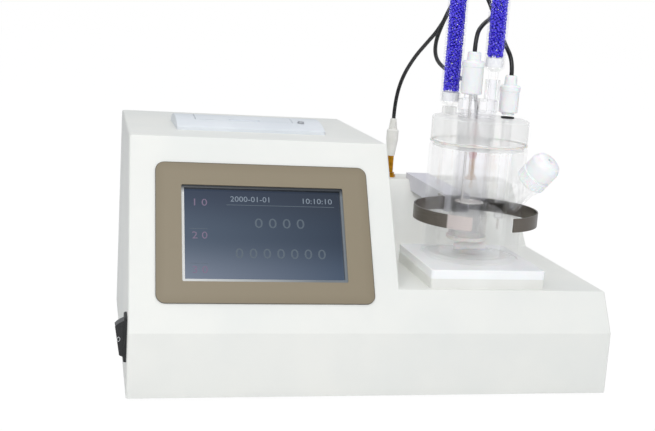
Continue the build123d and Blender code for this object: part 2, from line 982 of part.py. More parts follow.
def chamber_head():
    """The head on the chamber: a flange with a boss for the cathode and a side neck."""
    low = lid_top + chamber_neck_height
    high = low + chamber_flange_height
    head = post(chamber_x, chamber_y, low, high, chamber_flange_radius)
    head = fillet(head.edges(), 0.8)
    neck_x = chamber_x + side_neck[0]
    neck_y = chamber_y + side_neck[1]
    cap_x = chamber_x + cathode_neck[0]
    cap_y = chamber_y + cathode_neck[1]
    head += post(neck_x, neck_y, high, high + side_neck_height, side_neck_radius)
    head += post(cap_x, cap_y, high, high + 3.5, 5.2)
    head -= post(neck_x, neck_y, low - 1, high + side_neck_height + 1, tube_spigot_radius + fit_gap)
    return head - post(cap_x, cap_y, low - 1, high + 5, electrode_rod_radius + fit_gap)


def cathode():
    """The cathode: a thin rod down the chamber with a mesh disc on its end."""
    x = chamber_x + cathode_neck[0]
    y = chamber_y + cathode_neck[1]
    bottom = lid_bottom - grid_drop
    top = lid_top + chamber_neck_height + chamber_flange_height + 3.5
    rod = post(x, y, bottom, top, electrode_rod_radius)
    return rod + post(chamber_x, chamber_y, bottom - 0.8, bottom, grid_radius)


def anode_gauze():
    """The anode: a strip of gauze bent round the foot of the chamber, open at the back."""
    low = chamber_bottom() + 1.0
    high = low + gauze_height
    inner = chamber_radius + 0.1
    strip = ring(chamber_x, chamber_y, low, high, inner + gauze_thickness, inner)
    half_gap = gauze_gap / 2
    back = chamber_y + 2 * chamber_radius
    return strip - block((chamber_x - half_gap, chamber_y, low - 1), (chamber_x + half_gap, back, high + 1))


def electrode_cap(x, y, bottom, neck, radius, height, tip_radius, tip_height):
    """A moulded electrode cap: neck, body with a lip at its top, and a stepped tip."""
    points = [
        (0, 0),
        (neck[0], 0),
        (neck[0], neck[1]),
        (radius - 0.6, neck[1]),
        (radius, neck[1] + 0.8),
        (radius, neck[1] + height - 4.6),
        (radius + 0.5, neck[1] + height - 4.2),
        (radius + 0.5, neck[1] + height - 1.2),
        (radius - 0.6, neck[1] + height),
        (tip_radius, neck[1] + height),
        (tip_radius - 0.3, neck[1] + height + tip_height - 1.0),
        (tip_radius - 1.3, neck[1] + height + tip_height),
        (0, neck[1] + height + tip_height),
    ]
    return turned(points, x, y, bottom)


def cathode_cap_top():
    """The height of the cathode cap's tip, where its lead comes out."""
    low = lid_top + chamber_neck_height + chamber_flange_height + 3.5
    return low + cathode_cap_height - 3.5 + cathode_tip_height


def cathode_cap():
    """The large white cap over the cathode."""
    low = lid_top + chamber_neck_height + chamber_flange_height + 3.5
    return electrode_cap(
        chamber_x + cathode_neck[0],
        chamber_y + cathode_neck[1],
        low,
        (5.0, 0.4),
        cathode_cap_radius,
        cathode_cap_height - 3.9,
        cathode_tip_radius,
        cathode_tip_height,
    )


def measuring_probe():
    """The glass shaft of the measuring electrode, through the lid."""
    bottom = lid_bottom - probe_length
    shaft = post(probe_x, probe_y, bottom, lid_top + probe_seal_height + 1.5, probe_radius)
    return fillet(shaft.edges().sort_by(Axis.Z)[:1], 1.5)


def measuring_pins():
    """The measuring electrode's two platinum pins."""
    top = lid_bottom - probe_length
    low = top - probe_pin_length
    return [post(probe_x, probe_y + side * 1.3, low, top, probe_pin_radius) for side in (-1, 1)]


def probe_seal():
    """The black ring that seals the measuring electrode in the lid."""
    return ring(probe_x, probe_y, lid_top, lid_top + probe_seal_height, probe_radius + 1.3, probe_radius)


def probe_cap():
    """The smaller white cap over the measuring electrode."""
    return electrode_cap(
        probe_x,
        probe_y,
        lid_top + probe_seal_height + 1.5,
        (4.6, 1.6),
        probe_cap_radius,
        probe_cap_height - 1.6,
        probe_tip_radius,
        probe_tip_height,
    )


def probe_cap_top():
    """The height of the measuring cap's tip."""
    return lid_top + probe_seal_height + 1.5 + probe_cap_height + probe_tip_height


# ================================================================== drying tubes
def tube_profile(seat, steps, top):
    """Half section of a drying tube's glass: a spigot, stepped shoulders and a plain body."""
    outer = [(tube_spigot_radius, seat - tube_spigot_length), (tube_spigot_radius, seat)]
    height = seat
    for lower_radius, upper_radius, rise in steps:
        outer.append((lower_radius, height))
        height += rise
        outer.append((upper_radius, height))
    outer.append((tube_radius, height))
    outer.append((tube_radius, top))
    inner = [
        (tube_radius - tube_wall, top),
        (tube_radius - tube_wall, height + 0.6),
        (tube_spigot_radius - tube_wall, height - 3.0),
        (tube_spigot_radius - tube_wall, seat - tube_spigot_length),
    ]
    return without_doubles(outer + inner), height + 0.6


def without_doubles(points):
    """The outline without points that repeat the one before."""
    kept = [points[0]]
    for point in points[1:]:
        if math.dist(point, kept[-1]) > 0.01:
            kept.append(point)
    return kept


def drying_tube(name, x, y, seat, steps, top):
    """One drying tube with its wool, silica gel and stopper, as separate pieces."""
    profile, floor = tube_profile(seat, steps, top)
    bore = tube_radius - tube_wall
    gel_top = top - stopper_height - wool_height
    wool = post(x, y, floor, floor + wool_height, bore - 0.1)
    gel = post(x, y, floor + wool_height, gel_top, bore - 0.1)
    upper_wool = post(x, y, gel_top, gel_top + wool_height, bore - 0.1)
    stopper = post(x, y, top - stopper_height, top, bore - 0.1)
    stopper += post(x, y, top, top + stopper_collar, stopper_radius)
    stopper -= post(x, y, top - stopper_height - 1, top + stopper_collar + 1, 1.2)
    stopper = chamfer(stopper.edges().sort_by(Axis.Z)[-2:], 0.5)
    return {
        "drying_tube_" + name: turned(profile, x, y, 0),
        "wool_" + name: Compound([wool, upper_wool]),
        "silica_gel_" + name: gel,
        "tube_stopper_" + name: stopper,
    }


def drying_tubes():
    """The left tube stands in the lid's port, the right one on the chamber's side neck."""
    left_seat = lid_top + port_height + loose_gap
    left_steps = [(stem_radius, stem_radius, left_tube_stem), (stem_radius, tube_radius, tube_taper)]
    left_top = left_seat + left_tube_stem + tube_taper + left_tube_length
    pieces = drying_tube("left", port_x, port_y, left_seat, left_steps, left_top)
    neck_top = lid_top + chamber_neck_height + chamber_flange_height + side_neck_height
    right_seat = neck_top + loose_gap
    right_steps = [(stem_radius, stem_radius, right_tube_stem), (stem_radius, tube_radius, tube_taper)]
    right_top = right_seat + right_tube_stem + tube_taper + right_tube_length
    x = chamber_x + side_neck[0]
    y = chamber_y + side_neck[1]
    pieces.update(drying_tube("right", x, y, right_seat, right_steps, right_top))
    return pieces


# ================================================================== clamp band
def clamp_band():
    """The open steel band round the vessel, with flanges bent back beside the bracket."""
    x, y = band_centre
    top = band_bottom + band_height
    band = ring(x, y, band_bottom, top, band_radius, band_radius - band_thickness)
    reach = band_radius * 2
    gap = [(x, y)]
    for angle in (band_gap_start, band_gap_end):
        gap.append((x + reach * math.cos(math.radians(angle)), y + reach * math.sin(math.radians(angle))))
    wedge = make_face(Polyline(*gap, close=True))
    band -= Pos(0, 0, band_bottom - 1) * extrude(wedge, amount=band_height + 2)
    band -= block(
        (bracket_left, y, band_bottom - 1), (bracket_left + bracket_width, y + reach, top + 1)
    )
    flange_front = y + math.sqrt(band_radius**2 - (bracket_left + bracket_width - x) ** 2) - 1.6
    for side in (-1, 1):
        edge = bracket_left if side < 0 else bracket_left + bracket_width
        outer = edge + side * band_thickness
        low = (min(edge, outer), flange_front, band_bottom)
        high = (max(edge, outer), flange_front + flange_length, top)
        flange = block(low, high)
        flange -= cross_rod(outer - 3, outer + 3, flange_screw_y(), band_middle(), screw_radius + 0.2)
        band += flange
    return band


def band_middle():
    """The height of the middle of the clamp band."""
    return band_bottom + band_height / 2


def flange_screw_y():
    """How far back the screws through the band's flanges are."""
    return band_centre[1] + band_radius + flange_screw_back


def clamp_bracket():
    """The block that carries the band, notched over the jack box's front edge."""
    low = band_bottom + band_height / 2 - bracket_height / 2
    high = low + bracket_height
    slope = (jack_box_front - deck_back) / (jack_box_height - deck_height)
    y_low = deck_back + (low - deck_height) * slope
    points = [
        (bracket_front, low),
        (bracket_front, high),
        (bracket_rear, high),
        (bracket_rear, jack_box_height),
        (jack_box_front, jack_box_height),
        (y_low, low),
    ]
    bracket = side_prism(points, bracket_left, bracket_left + bracket_width)
    front_edges = bracket.edges().filter_by(Axis.Z).sort_by(Axis.Y)[:2]
    bracket = fillet(front_edges, 2.5)
    bracket -= cross_rod(
        bracket_left - 1, bracket_left + bracket_width + 1, flange_screw_y(), band_middle(), screw_radius
    )
    return bracket


def clamp_screws():
    """One screw through each flange into the bracket."""
    screws = []
    for side in (-1, 1):
        edge = bracket_left if side < 0 else bracket_left + bracket_width
        outer = edge + side * band_thickness
        inner = edge - side * 8.0
        head = outer + side * 2.2
        stem = cross_rod(min(inner, outer), max(inner, outer), flange_screw_y(), band_middle(), screw_radius)
        cap = cross_rod(min(outer, head), max(outer, head), flange_screw_y(), band_middle(), 3.4)
        screws.append(stem + cap)
    return screws


# ================================================================== jacks and plugs
def jack(x):
    """A panel jack: nut and collar above the box, threaded tail and contact below."""
    top = jack_box_height
    nut = extrude(RegularPolygon(jack_nut_radius, 6), amount=jack_nut_height)
    body = Pos(x, jack_y, top) * nut
    body += post(x, jack_y, top + jack_nut_height, top + jack_nut_height + jack_collar, jack_barrel_radius)
    body += post(x, jack_y, top - jack_tail, top, jack_barrel_radius - 0.3)
    body += post(x, jack_y, top - wall - 1.8, top - wall, jack_nut_radius)
    return body - post(x, jack_y, top - jack_tail + 1.0, top + 10, jack_bore_radius)


def jack_hole(x):
    """The hole in the jack box's top for a jack."""
    hole_radius = jack_barrel_radius - 0.3 + fit_gap
    return post(x, jack_y, jack_box_height - wall - 1, jack_box_height + 1, hole_radius)


def plug_base():
    """The height at which a plug's collar stands off its jack."""
    return jack_box_height + jack_nut_height + jack_collar + loose_gap


def plug_top():
    """The height at which a lead leaves its plug."""
    return plug_base() + plug_stem_height + plug_body_height + plug_relief_height


def plug_pin(x):
    """The metal pin and stem of a plug."""
    low = plug_base()
    pin = post(x, jack_y, jack_box_height - 6.0, low, plug_pin_radius)
    return pin + post(x, jack_y, low, low + plug_stem_height, plug_stem_radius)


def plug_handle(x):
    """The moulded handle: tapered nose, barrel and a ribbed strain relief."""
    low = plug_base() + plug_stem_height
    points = [
        (0, 0),
        (plug_stem_radius + 0.5, 0),
        (plug_body_radius, plug_body_height * 0.58),
        (plug_body_radius, plug_body_height - 1.0),
        (plug_body_radius - 1.0, plug_body_height),
    ]
    rib = plug_relief_height / 5
    for step in range(5):
        height = plug_body_height + step * rib
        radius = plug_relief_radius + 0.7 - 0.22 * step
        points.append((radius, height + 0.01))
        points.append((radius, height + rib * 0.6))
        points.append((radius - 0.6, height + rib * 0.6 + 0.01))
        points.append((radius - 0.6, height + rib))
    points.append((0, plug_body_height + plug_relief_height))
    return turned(points, x, jack_y, low)


# ================================================================== leads
def lead_route(jack_x, cap_x, cap_y, cap_top, straight_end, way):
    """A lead's points: straight up from its plug, along its way, and straight down into its cap.

    Each point on the way has its share of the run from jack to cap, how far it lies to the
    right of the straight line between them, and its height above the lid.
    """
    points = [(jack_x, jack_y, plug_top()), (jack_x, jack_y, plug_top() + lead_straight_start)]
    for share, side, height in way:
        x = jack_x + share * (cap_x - jack_x) + side
        y = jack_y + share * (cap_y - jack_y)
        points.append((x, y, lid_top + height))
    points.append((cap_x, cap_y, cap_top + straight_end))
    points.append((cap_x, cap_y, cap_top))
    return points


def white_lead_route():
    """The white plug's lead: over the backs of the tubes and down to the measuring cap."""
    way = [
        (0.065, -1.4, 16.4),
        (0.209, -4.8, 35.4),
        (0.353, -7.7, 48.9),
        (0.464, -9.6, 59.4),
        (0.542, -9.1, 73.9),
        (0.614, -6.8, 92.9),
        (0.696, 0.1, 96.9),
        (0.771, 1.8, 82.4),
        (0.843, 1.6, 65.9),
        (0.925, 0.4, 53.9),
    ]
    return lead_route(white_jack_x, probe_x, probe_y, probe_cap_top(), 10.5, way)


def red_lead_route():
    """The red plug's lead: forward behind the lid, up between the tubes and down to the cathode cap."""
    cap_x = chamber_x + cathode_neck[0]
    cap_y = chamber_y + cathode_neck[1]
    way = [
        (0.058, -4.4, 11.4),
        (0.175, -15.2, 20.4),
        (0.317, -27.5, 27.4),
        (0.427, -36.2, 36.4),
        (0.517, -36.7, 50.4),
        (0.614, -29.7, 68.4),
        (0.679, -21.2, 85.4),
        (0.724, -9.9, 100.4),
        (0.776, 5.8, 100.4),
        (0.825, 13.8, 85.4),
        (0.873, 10.8, 72.9),
        (0.941, 4.0, 67.2),
    ]
    return lead_route(red_jack_x, cap_x, cap_y, cathode_cap_top(), 12.5, way)


def lead_tube(name, route):
    """A plain tube along straight runs joined by tangent arcs, as large as the runs allow."""
    points = [Vector(*point) for point in route]
    radii = []
    for i in range(1, len(points) - 1):
        before = points[i] - points[i - 1]
        after = points[i + 1] - points[i]
        half_turn = math.radians(before.get_angle(after) / 2)
        radii.append(0.45 * min(before.length, after.length) / math.tan(half_turn))
    path = FilletPolyline(*points, radius=radii)
    section = Plane(origin=path @ 0, z_dir=path % 0) * Circle(lead_diameter / 2)
    tube = sweep(section, path)
    area = math.pi * (lead_diameter / 2) ** 2
    print(name, "radii", [round(r, 1) for r in radii], "length", round(path.length, 1))
    print(name, "volume", round(tube.volume, 1), "section by length", round(area * path.length, 1))
    return tube


# ================================================================== rear and inside
def mains_inlet():
    """The mains inlet: flange, body, shrouded well and its three pins."""
    y = body_depth
    left = inlet_left
    low = inlet_bottom
    flange = block(
        (left - 11.0, y, low - 3.5), (left + inlet_width + 11.0, y + inlet_flange, low + inlet_height + 3.5)
    )
    flange = fillet(flange.edges().filter_by(Axis.Y), 3.0)
    body = block((left, y - inlet_depth, low), (left + inlet_width, y, low + inlet_height))
    inlet = flange + body
    well = block(
        (left + 1.5, y - inlet_depth + 2.0, low + 1.5),
        (left + inlet_width - 1.5, y + inlet_flange + 1, low + inlet_height - 1.5),
    )
    well = chamfer(well.edges().filter_by(Axis.Y).sort_by(Axis.Z)[-2:], 4.5)
    inlet -= well
    for x in (left - 6.5, left + inlet_width + 6.5):
        inlet -= along_depth(x, low + inlet_height / 2, y - 10, y + 10, screw_radius)
    floor = y - inlet_depth + 2.0
    x = left + inlet_width / 2
    z = low + inlet_height / 2
    for pin_x, pin_z in ((x - 7.0, z - 2.0), (x + 7.0, z - 2.0), (x, z + 2.4)):
        inlet += block((pin_x - 1.0, floor, pin_z - 2.0), (pin_x + 1.0, floor + 12.5, pin_z + 2.0))
    return inlet


def inlet_cut():
    """The hole in the rear panel for the inlet's body."""
    low = (inlet_left - fit_gap, body_depth - wall - 1, inlet_bottom - fit_gap)
    high = (inlet_left + inlet_width + fit_gap, body_depth + 1, inlet_bottom + inlet_height + fit_gap)
    return block(low, high)


def along_depth(x, z, y0, y1, radius):
    """A cylinder along Y."""
    return Pos(x, (y0 + y1) / 2, z) * Rot(90, 0, 0) * Cylinder(radius, y1 - y0)


def data_port():
    """The serial port: a plate with a tapered metal shell and hex posts."""
    y = body_depth
    x = port_left + port_width / 2
    z = port_bottom + port_depth / 2
    plate = block((port_left, y, port_bottom), (port_left + port_width, y + 1.0, port_bottom + port_depth))
    outer = [(-8.6, -4.0), (8.6, -4.0), (9.4, 4.0), (-9.4, 4.0)]
    face = Plane(origin=(x, y + 1.0, z), x_dir=(1, 0, 0), z_dir=(0, 1, 0))
    shell = extrude(face * make_face(Polyline(*outer, close=True)), amount=5.0)
    inner = [(u * 0.93, v * 0.85) for u, v in outer]
    well = extrude(face * make_face(Polyline(*inner, close=True)), amount=6.0)
    plate += shell
    plate -= well
    plate += block((x - 9.0, y - 9.0, z - 4.6), (x + 9.0, y, z + 4.6))
    for side in (-1, 1):
        nut_face = Plane(origin=(x + side * 12.5, y + 1.0, z), x_dir=(1, 0, 0), z_dir=(0, 1, 0))
        hexagon = nut_face * RegularPolygon(2.8, 6)
        plate += extrude(hexagon, amount=4.0)
    return plate


def vents():
    """Rows of slots through the rear panel."""
    slots = []
    for column in range(vent_columns):
        for row in range(vent_rows):
            x = vent_first_x + column * (vent_length + 10.0)
            z = vent_first_z + row * vent_pitch
            slot = SlotOverall(vent_length, vent_slot)
            face = Plane(origin=(x, body_depth + 1, z), x_dir=(1, 0, 0), z_dir=(0, -1, 0))
            slots.append(extrude(face * slot, amount=wall + 2))
    return slots


def rear_screw_places():
    """The rear panel's screws, as x and z."""
    left = rear_screw_inset
    right = body_width - rear_screw_inset
    tower = tower_width - rear_screw_inset
    high = tower_height - rear_screw_inset
    low = rear_screw_inset
    box_high = jack_box_height - rear_screw_inset
    middle = (left + right) / 2
    return [(left, low), (left, high), (tower, high), (right, low), (right, box_high), (middle, low)]


def housing_screws():
    """Pan-head screws round the rear panel."""
    screws = []
    for x, z in rear_screw_places():
        head = along_depth(x, z, body_depth, body_depth + 1.8, 3.2)
        head -= block((x - 0.4, body_depth + 1.0, z - 2.0), (x + 0.4, body_depth + 3, z + 2.0))
        head -= block((x - 2.0, body_depth + 1.0, z - 0.4), (x + 2.0, body_depth + 3, z + 0.4))
        screws.append(head + along_depth(x, z, body_depth - wall - 4.0, body_depth, 1.5))
    return screws


def feet():
    """Four rubber feet, pressed into the tray."""
    pads = []
    for x in (foot_inset, body_width - foot_inset):
        for y in (foot_inset, body_depth - foot_inset):
            pad = post(x, y, -foot_height, 0, foot_radius)
            pad = chamfer(pad.edges().sort_by(Axis.Z)[:1], 0.5)
            pads.append(pad + post(x, y, 0, wall + 1.0, 3.0))
    return Compound(pads)


def tray_fittings(tray):
    """Holes for the feet, and standoffs for the two boards."""
    for x in (foot_inset, body_width - foot_inset):
        for y in (foot_inset, body_depth - foot_inset):
            tray -= post(x, y, -1, wall + 2, 3.0)
    for corner, size in ((board_corner, board_size), (supply_corner, supply_size)):
        for x in (corner[0] + 5, corner[0] + size[0] - 5):
            for y in (corner[1] + 5, corner[1] + size[1] - 5):
                tray += post(x, y, wall, wall + standoff_height, 3.0)
    return tray


def board(corner, size):
    """A circuit board on its standoffs."""
    low = wall + standoff_height
    far = (corner[0] + size[0], corner[1] + size[1], low + board_thickness)
    return block((corner[0], corner[1], low), far)


def main_board():
    """The control board with its chips and connectors."""
    x, y = board_corner
    top = wall + standoff_height + board_thickness
    pcb = board(board_corner, board_size)
    for right, back, width, depth, height in board_chips:
        low = (x + right, y + back, top)
        pcb += block(low, (x + right + width, y + back + depth, top + height))
    return pcb


def power_supply():
    """The supply board with its transformer, capacitors and heat sink."""
    x, y = supply_corner
    top = wall + standoff_height + board_thickness
    pcb = board(supply_corner, supply_size)
    for right, back, width, depth, height in supply_blocks:
        low = (x + right, y + back, top)
        pcb += block(low, (x + right + width, y + back + depth, top + height))
    for step in range(capacitor_count):
        back = y + capacitor_place[1] + step * capacitor_pitch
        pcb += post(x + capacitor_place[0], back, top, top + capacitor_height, capacitor_radius)
    return pcb


# ================================================================== assembly
def build():
    """Make every node, in the console's own frame."""
    nodes = housing_parts()
    nodes["front_shell"] = nodes["front_shell"] - display_cut() + display_posts()
    half_width, half_height, y, z = switch_hole(fit_gap)
    cutout = block((-1, y - half_width, z - half_height), (wall + 1, y + half_width, z + half_height))
    nodes["left_side"] -= cutout
    below_top = block((0, 0, 0), (body_width, body_depth, tower_height + 1))
    bucket_hole = cover_opening(0, bucket_wall + fit_gap) & below_top
    nodes["tower_top"] -= bucket_hole
    nodes["deck_shelf"] -= post(cell_x, cell_y, deck_height - wall - 1, deck_height + 1, 4.0 + fit_gap)
    nodes["deck_shelf"] -= jack_hole(white_jack_x) + jack_hole(red_jack_x)
    rear = nodes["rear_panel"] - inlet_cut()
    port_x0 = port_left + port_width / 2
    port_z0 = port_bottom + port_depth / 2
    port_low = (port_x0 - 9.2, body_depth - wall - 1, port_z0 - 4.8)
    rear -= block(port_low, (port_x0 + 9.2, body_depth + 1, port_z0 + 4.8))
    for slot in vents():
        rear -= slot
    for x, z in rear_screw_places():
        rear -= along_depth(x, z, body_depth - wall - 1, body_depth + 1, 1.5)
    for x in (inlet_left - 6.5, inlet_left + inlet_width + 6.5):
        middle = inlet_bottom + inlet_height / 2
        rear -= along_depth(x, middle, body_depth - wall - 1, body_depth + 1, screw_radius)
    nodes["rear_panel"] = rear
    nodes["base_tray"] = tray_fittings(nodes["base_tray"])
    nodes.update(
        {
            "feet": feet(),
            "screws": Compound(housing_screws() + display_screws() + clamp_screws()),
            "display_overlay": display_overlay(),
            "display_frame": display_frame(),
            "touch_screen": touch_screen(),
            "display_module": display_module(),
            "switch_housing": switch_housing(),
            "power_rocker": power_rocker(),
            "printer_case": printer_case(),
            "printer_cover": printer_cover(),
            "platen_roller": platen_roller(),
            "print_head": print_head(),
            "paper_roll": paper_roll(),
            "feed_button": feed_button(),
            "stirrer_base": stirrer_base(),
            "cell_plate": cell_plate(),
            "stirrer_motor": stirrer_motor(),
            "stirrer_rotor": stirrer_rotor(),
            "cell_vessel": cell_vessel(),
            "septum": septum(),
            "septum_cap": septum_cap(),
            "stir_bar": stir_bar(),
            "cell_lid": cell_lid(),
            "lid_seal": lid_seal(),
            "cathode_chamber": cathode_chamber(),
            "chamber_frit": chamber_frit(),
            "chamber_head": chamber_head(),
            "electrodes": Compound([cathode(), anode_gauze()] + measuring_pins()),
            "cathode_cap": cathode_cap(),
            "measuring_probe": measuring_probe(),
            "probe_seal": probe_seal(),
            "probe_cap": probe_cap(),
            "clamp_band": clamp_band(),
            "clamp_bracket": clamp_bracket(),
            "signal_jacks": Compound([jack(white_jack_x), jack(red_jack_x)]),
            "plug_pins": Compound([plug_pin(white_jack_x), plug_pin(red_jack_x)]),
            "white_plug": plug_handle(white_jack_x),
            "red_plug": plug_handle(red_jack_x),
            "white_lead": lead_tube("white lead", white_lead_route()),
            "red_lead": lead_tube("red lead", red_lead_route()),
            "mains_inlet": mains_inlet(),
            "data_port": data_port(),
            "main_board": main_board(),
            "power_supply": power_supply(),
        }
    )
    nodes.update(drying_tubes())
    return nodes


def main():
    """Set the console on the bench with its outline's middle at the origin, one file per node."""
    os.makedirs("parts", exist_ok=True)
    nodes = build()
    fixed = [shape for name, shape in nodes.items() if name not in lead_pieces]
    middle = Compound(fixed).bounding_box().center()
    on_bench = Pos(-middle.X, -middle.Y, foot_height)
    print("middle of the outline", round(middle.X, 4), round(middle.Y, 4))
    for name, shape in nodes.items():
        export_step(on_bench * shape, "parts/" + name + ".step")


main()
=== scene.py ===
import logging
import math
from abc import ABC, abstractmethod
from collections.abc import Iterator
from contextlib import contextmanager
from dataclasses import dataclass
from enum import Enum
from typing import Any

import bmesh
import bpy
import numpy as np
from mathutils import Matrix, Vector


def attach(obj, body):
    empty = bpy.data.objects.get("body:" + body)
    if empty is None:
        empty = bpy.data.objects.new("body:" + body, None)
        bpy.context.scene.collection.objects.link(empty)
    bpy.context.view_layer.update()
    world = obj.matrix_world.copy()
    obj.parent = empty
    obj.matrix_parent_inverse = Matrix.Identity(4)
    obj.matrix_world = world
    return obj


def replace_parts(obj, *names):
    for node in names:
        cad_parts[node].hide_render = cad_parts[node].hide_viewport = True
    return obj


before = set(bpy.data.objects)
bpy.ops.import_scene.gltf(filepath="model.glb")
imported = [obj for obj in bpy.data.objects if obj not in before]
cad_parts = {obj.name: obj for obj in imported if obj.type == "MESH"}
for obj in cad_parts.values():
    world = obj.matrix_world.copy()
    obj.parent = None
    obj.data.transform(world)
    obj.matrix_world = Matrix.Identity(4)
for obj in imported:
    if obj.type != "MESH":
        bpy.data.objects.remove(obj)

LOG = logging.getLogger("titrator")
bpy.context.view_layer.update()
MM = 0.001
# The console's lower front left corner, in millimetres from the row's origin.
CORNER = (-166.0848, -125.5, 2.0)
FULL_TURN = 2 * math.pi
# Points nearer than this many metres become one when a CAD node's triangles are joined.
CAD_WELD = 2e-6

Pair = tuple[float, float]
Point = tuple[float, float, float]
Profile = list[Pair]
RIGHT, BACK, UP = (1.0, 0.0, 0.0), (0.0, 1.0, 0.0), (0.0, 0.0, 1.0)

# ============================================================ places and numbers
def place(x: float, y: float, z: float) -> Point:
    """Turn a place on the console into the row's frame.

    Args:
        x: Millimetres to the right of the console's left side.
        y: Millimetres behind the console's front.
        z: Millimetres above the console's underside.

    Returns:
        The point in metres.
    """
    return ((x + CORNER[0]) * MM, (y + CORNER[1]) * MM, (z + CORNER[2]) * MM)


def linear(colour: str) -> tuple[float, float, float, float]:
    """Turn an sRGB hex colour into the linear colour that shaders take.

    Args:
        colour: Six hex digits.

    Returns:
        Red, green, blue and an alpha of one.
    """
    values = np.array([int(colour[i : i + 2], 16) for i in (0, 2, 4)]) / 255.0
    values = np.where(values <= 0.04045, values / 12.92, ((values + 0.055) / 1.055) ** 2.4)
    return (float(values[0]), float(values[1]), float(values[2]), 1.0)


def per_metre(size_mm: float) -> float:
    """The noise or wave scale whose features are that many millimetres across."""
    return 1.0 / (size_mm * MM)


def circle(centre: Pair, radius: float, angle: np.ndarray) -> np.ndarray:
    """Points round a centre, as angles by two."""
    return np.stack([centre[0] + radius * np.cos(angle), centre[1] + radius * np.sin(angle)], -1)


# ============================================================ meshes
def new_mesh(name: str, points: np.ndarray, faces: np.ndarray | list) -> bpy.types.Mesh:
    """Make a mesh of points and faces.

    Args:
        name: The mesh's name.
        points: Places in metres, the last axis being x, y and z.
        faces: Point numbers, face by face.

    Returns:
        The mesh.
    """
    mesh = bpy.data.meshes.new(name)
    faces = faces if isinstance(faces, list) else faces.tolist()
    mesh.from_pydata(points.reshape(-1, 3), [], faces)
    return mesh


@contextmanager
def reworked(mesh: bpy.types.Mesh) -> Iterator[bmesh.types.BMesh]:
    """Open a mesh for editing and write it back at the end."""
    work = bmesh.new()
    work.from_mesh(mesh)
    yield work
    work.to_mesh(mesh)
    work.free()


def link(name: str, data: Any) -> bpy.types.Object:
    """Put an object with this data into the scene, at the origin."""
    piece = bpy.data.objects.new(name, data)
    bpy.context.scene.collection.objects.link(piece)
    return piece


def keep_mesh(name: str, mesh: bpy.types.Mesh, angle: float = 30.0) -> bpy.types.Object:
    """Put a finished mesh into the scene, smooth up to an angle.

    Args:
        name: The piece's name.
        mesh: Its mesh, already in place.
        angle: Edges sharper than this many degrees stay sharp.

    Returns:
        The new object, at the origin.
    """
    mesh.shade_smooth()
    mesh.set_sharp_from_angle(angle=math.radians(angle))
    return link(name, mesh)


def weld(mesh: bpy.types.Mesh, distance: float = 1e-6) -> None:
    """Merge doubled points, drop what has no area and point every face outwards.

    Args:
        mesh: The mesh to clean.
        distance: Points nearer than this many metres become one.
    """
    with reworked(mesh) as work:
        bmesh.ops.remove_doubles(work, verts=work.verts, dist=distance)
        bmesh.ops.dissolve_degenerate(work, edges=work.edges, dist=distance)
        bmesh.ops.recalc_face_normals(work, faces=work.faces)


def grid_faces(rows: int, columns: int, close_rows: bool) -> np.ndarray:
    """The four-sided faces of a grid of points whose rows are closed loops.

    Args:
        rows: How many rows of points.
        columns: How many points in a row.
        close_rows: Whether the last row joins the first.

    Returns:
        An array of point numbers, four to a face.
    """
    last = rows if close_rows else rows - 1
    i, j = np.meshgrid(np.arange(last), np.arange(columns), indexing="ij")
    up, along = (i + 1) % rows, (j + 1) % columns
    corners = [i * columns + j, up * columns + j, up * columns + along, i * columns + along]
    return np.stack(corners, -1).reshape(-1, 4)


def softened(outline: Profile, radius: float, steps: int = 4) -> np.ndarray:
    """Round every corner of a closed outline.

    A corner P between its neighbours A and B becomes the curve
    (1-s)^2 P_a + 2s(1-s) P + s^2 P_b, where P_a and P_b lie on the two sides, at most the
    radius and at most 0.45 of the side away from P.

    Args:
        outline: The corners in order.
        radius: How far from a corner the curve starts, in the outline's unit.
        steps: How many points each corner gets.

    Returns:
        The rounded outline, points by two.
    """
    corner = np.array(outline, float)
    before, after = np.roll(corner, 1, 0) - corner, np.roll(corner, -1, 0) - corner
    length_before = np.linalg.norm(before, axis=1, keepdims=True)
    length_after = np.linalg.norm(after, axis=1, keepdims=True)
    start = corner + before / length_before * np.minimum(radius, 0.45 * length_before)
    end = corner + after / length_after * np.minimum(radius, 0.45 * length_after)
    on_axis = corner[:, :1] < 1e-9
    start, end = np.where(on_axis, corner, start), np.where(on_axis, corner, end)
    s = np.linspace(0.0, 1.0, steps)[None, :, None]
    curve = (1 - s) ** 2 * start[:, None] + 2 * s * (1 - s) * corner[:, None] + s**2 * end[:, None]
    return curve.reshape(-1, 2)


def axis_frame(direction: Point) -> np.ndarray:
    """Three unit vectors at right angles, the last along a direction.

    Args:
        direction: Which way the axis runs.

    Returns:
        The vectors as the rows of a matrix.
    """
    along = np.array(direction, float) / np.linalg.norm(direction)
    side = np.cross((0.0, 0.0, 1.0) if abs(along[2]) < 0.9 else (0.0, 1.0, 0.0), along)
    side /= np.linalg.norm(side)
    return np.stack([side, np.cross(along, side), along])


def lathe_mesh(
    name: str,
    outline: Profile,
    base: Point,
    radius: float,
    turns: int,
    direction: Point = UP,
) -> bpy.types.Mesh:
    """Turn a closed outline about an axis.

    The surface is base + r cos(t) side + r sin(t) across + h along, for each outline point
    (r, h) and each t round the circle.

    Args:
        name: The mesh's name.
        outline: (radius, height) corners in millimetres, in order round the section.
        base: The outline's origin, as console millimetres.
        radius: How far back from each corner its rounding starts, in millimetres.
        turns: How many steps the circle has.
        direction: Which way the axis runs.

    Returns:
        The welded mesh.
    """
    section = softened(outline, radius) if radius > 0 else np.array(outline, float)
    side, across, along = axis_frame(direction)
    angle = np.linspace(0.0, FULL_TURN, turns, endpoint=False)
    spoke = np.cos(angle)[:, None] * side + np.sin(angle)[:, None] * across
    r, h = section[None, :, :1] * MM, section[None, :, 1:] * MM
    points = np.array(place(*base)) + r * spoke[:, None] + h * along
    mesh = new_mesh(name, points, grid_faces(*points.shape[:2], True))
    weld(mesh)
    return mesh


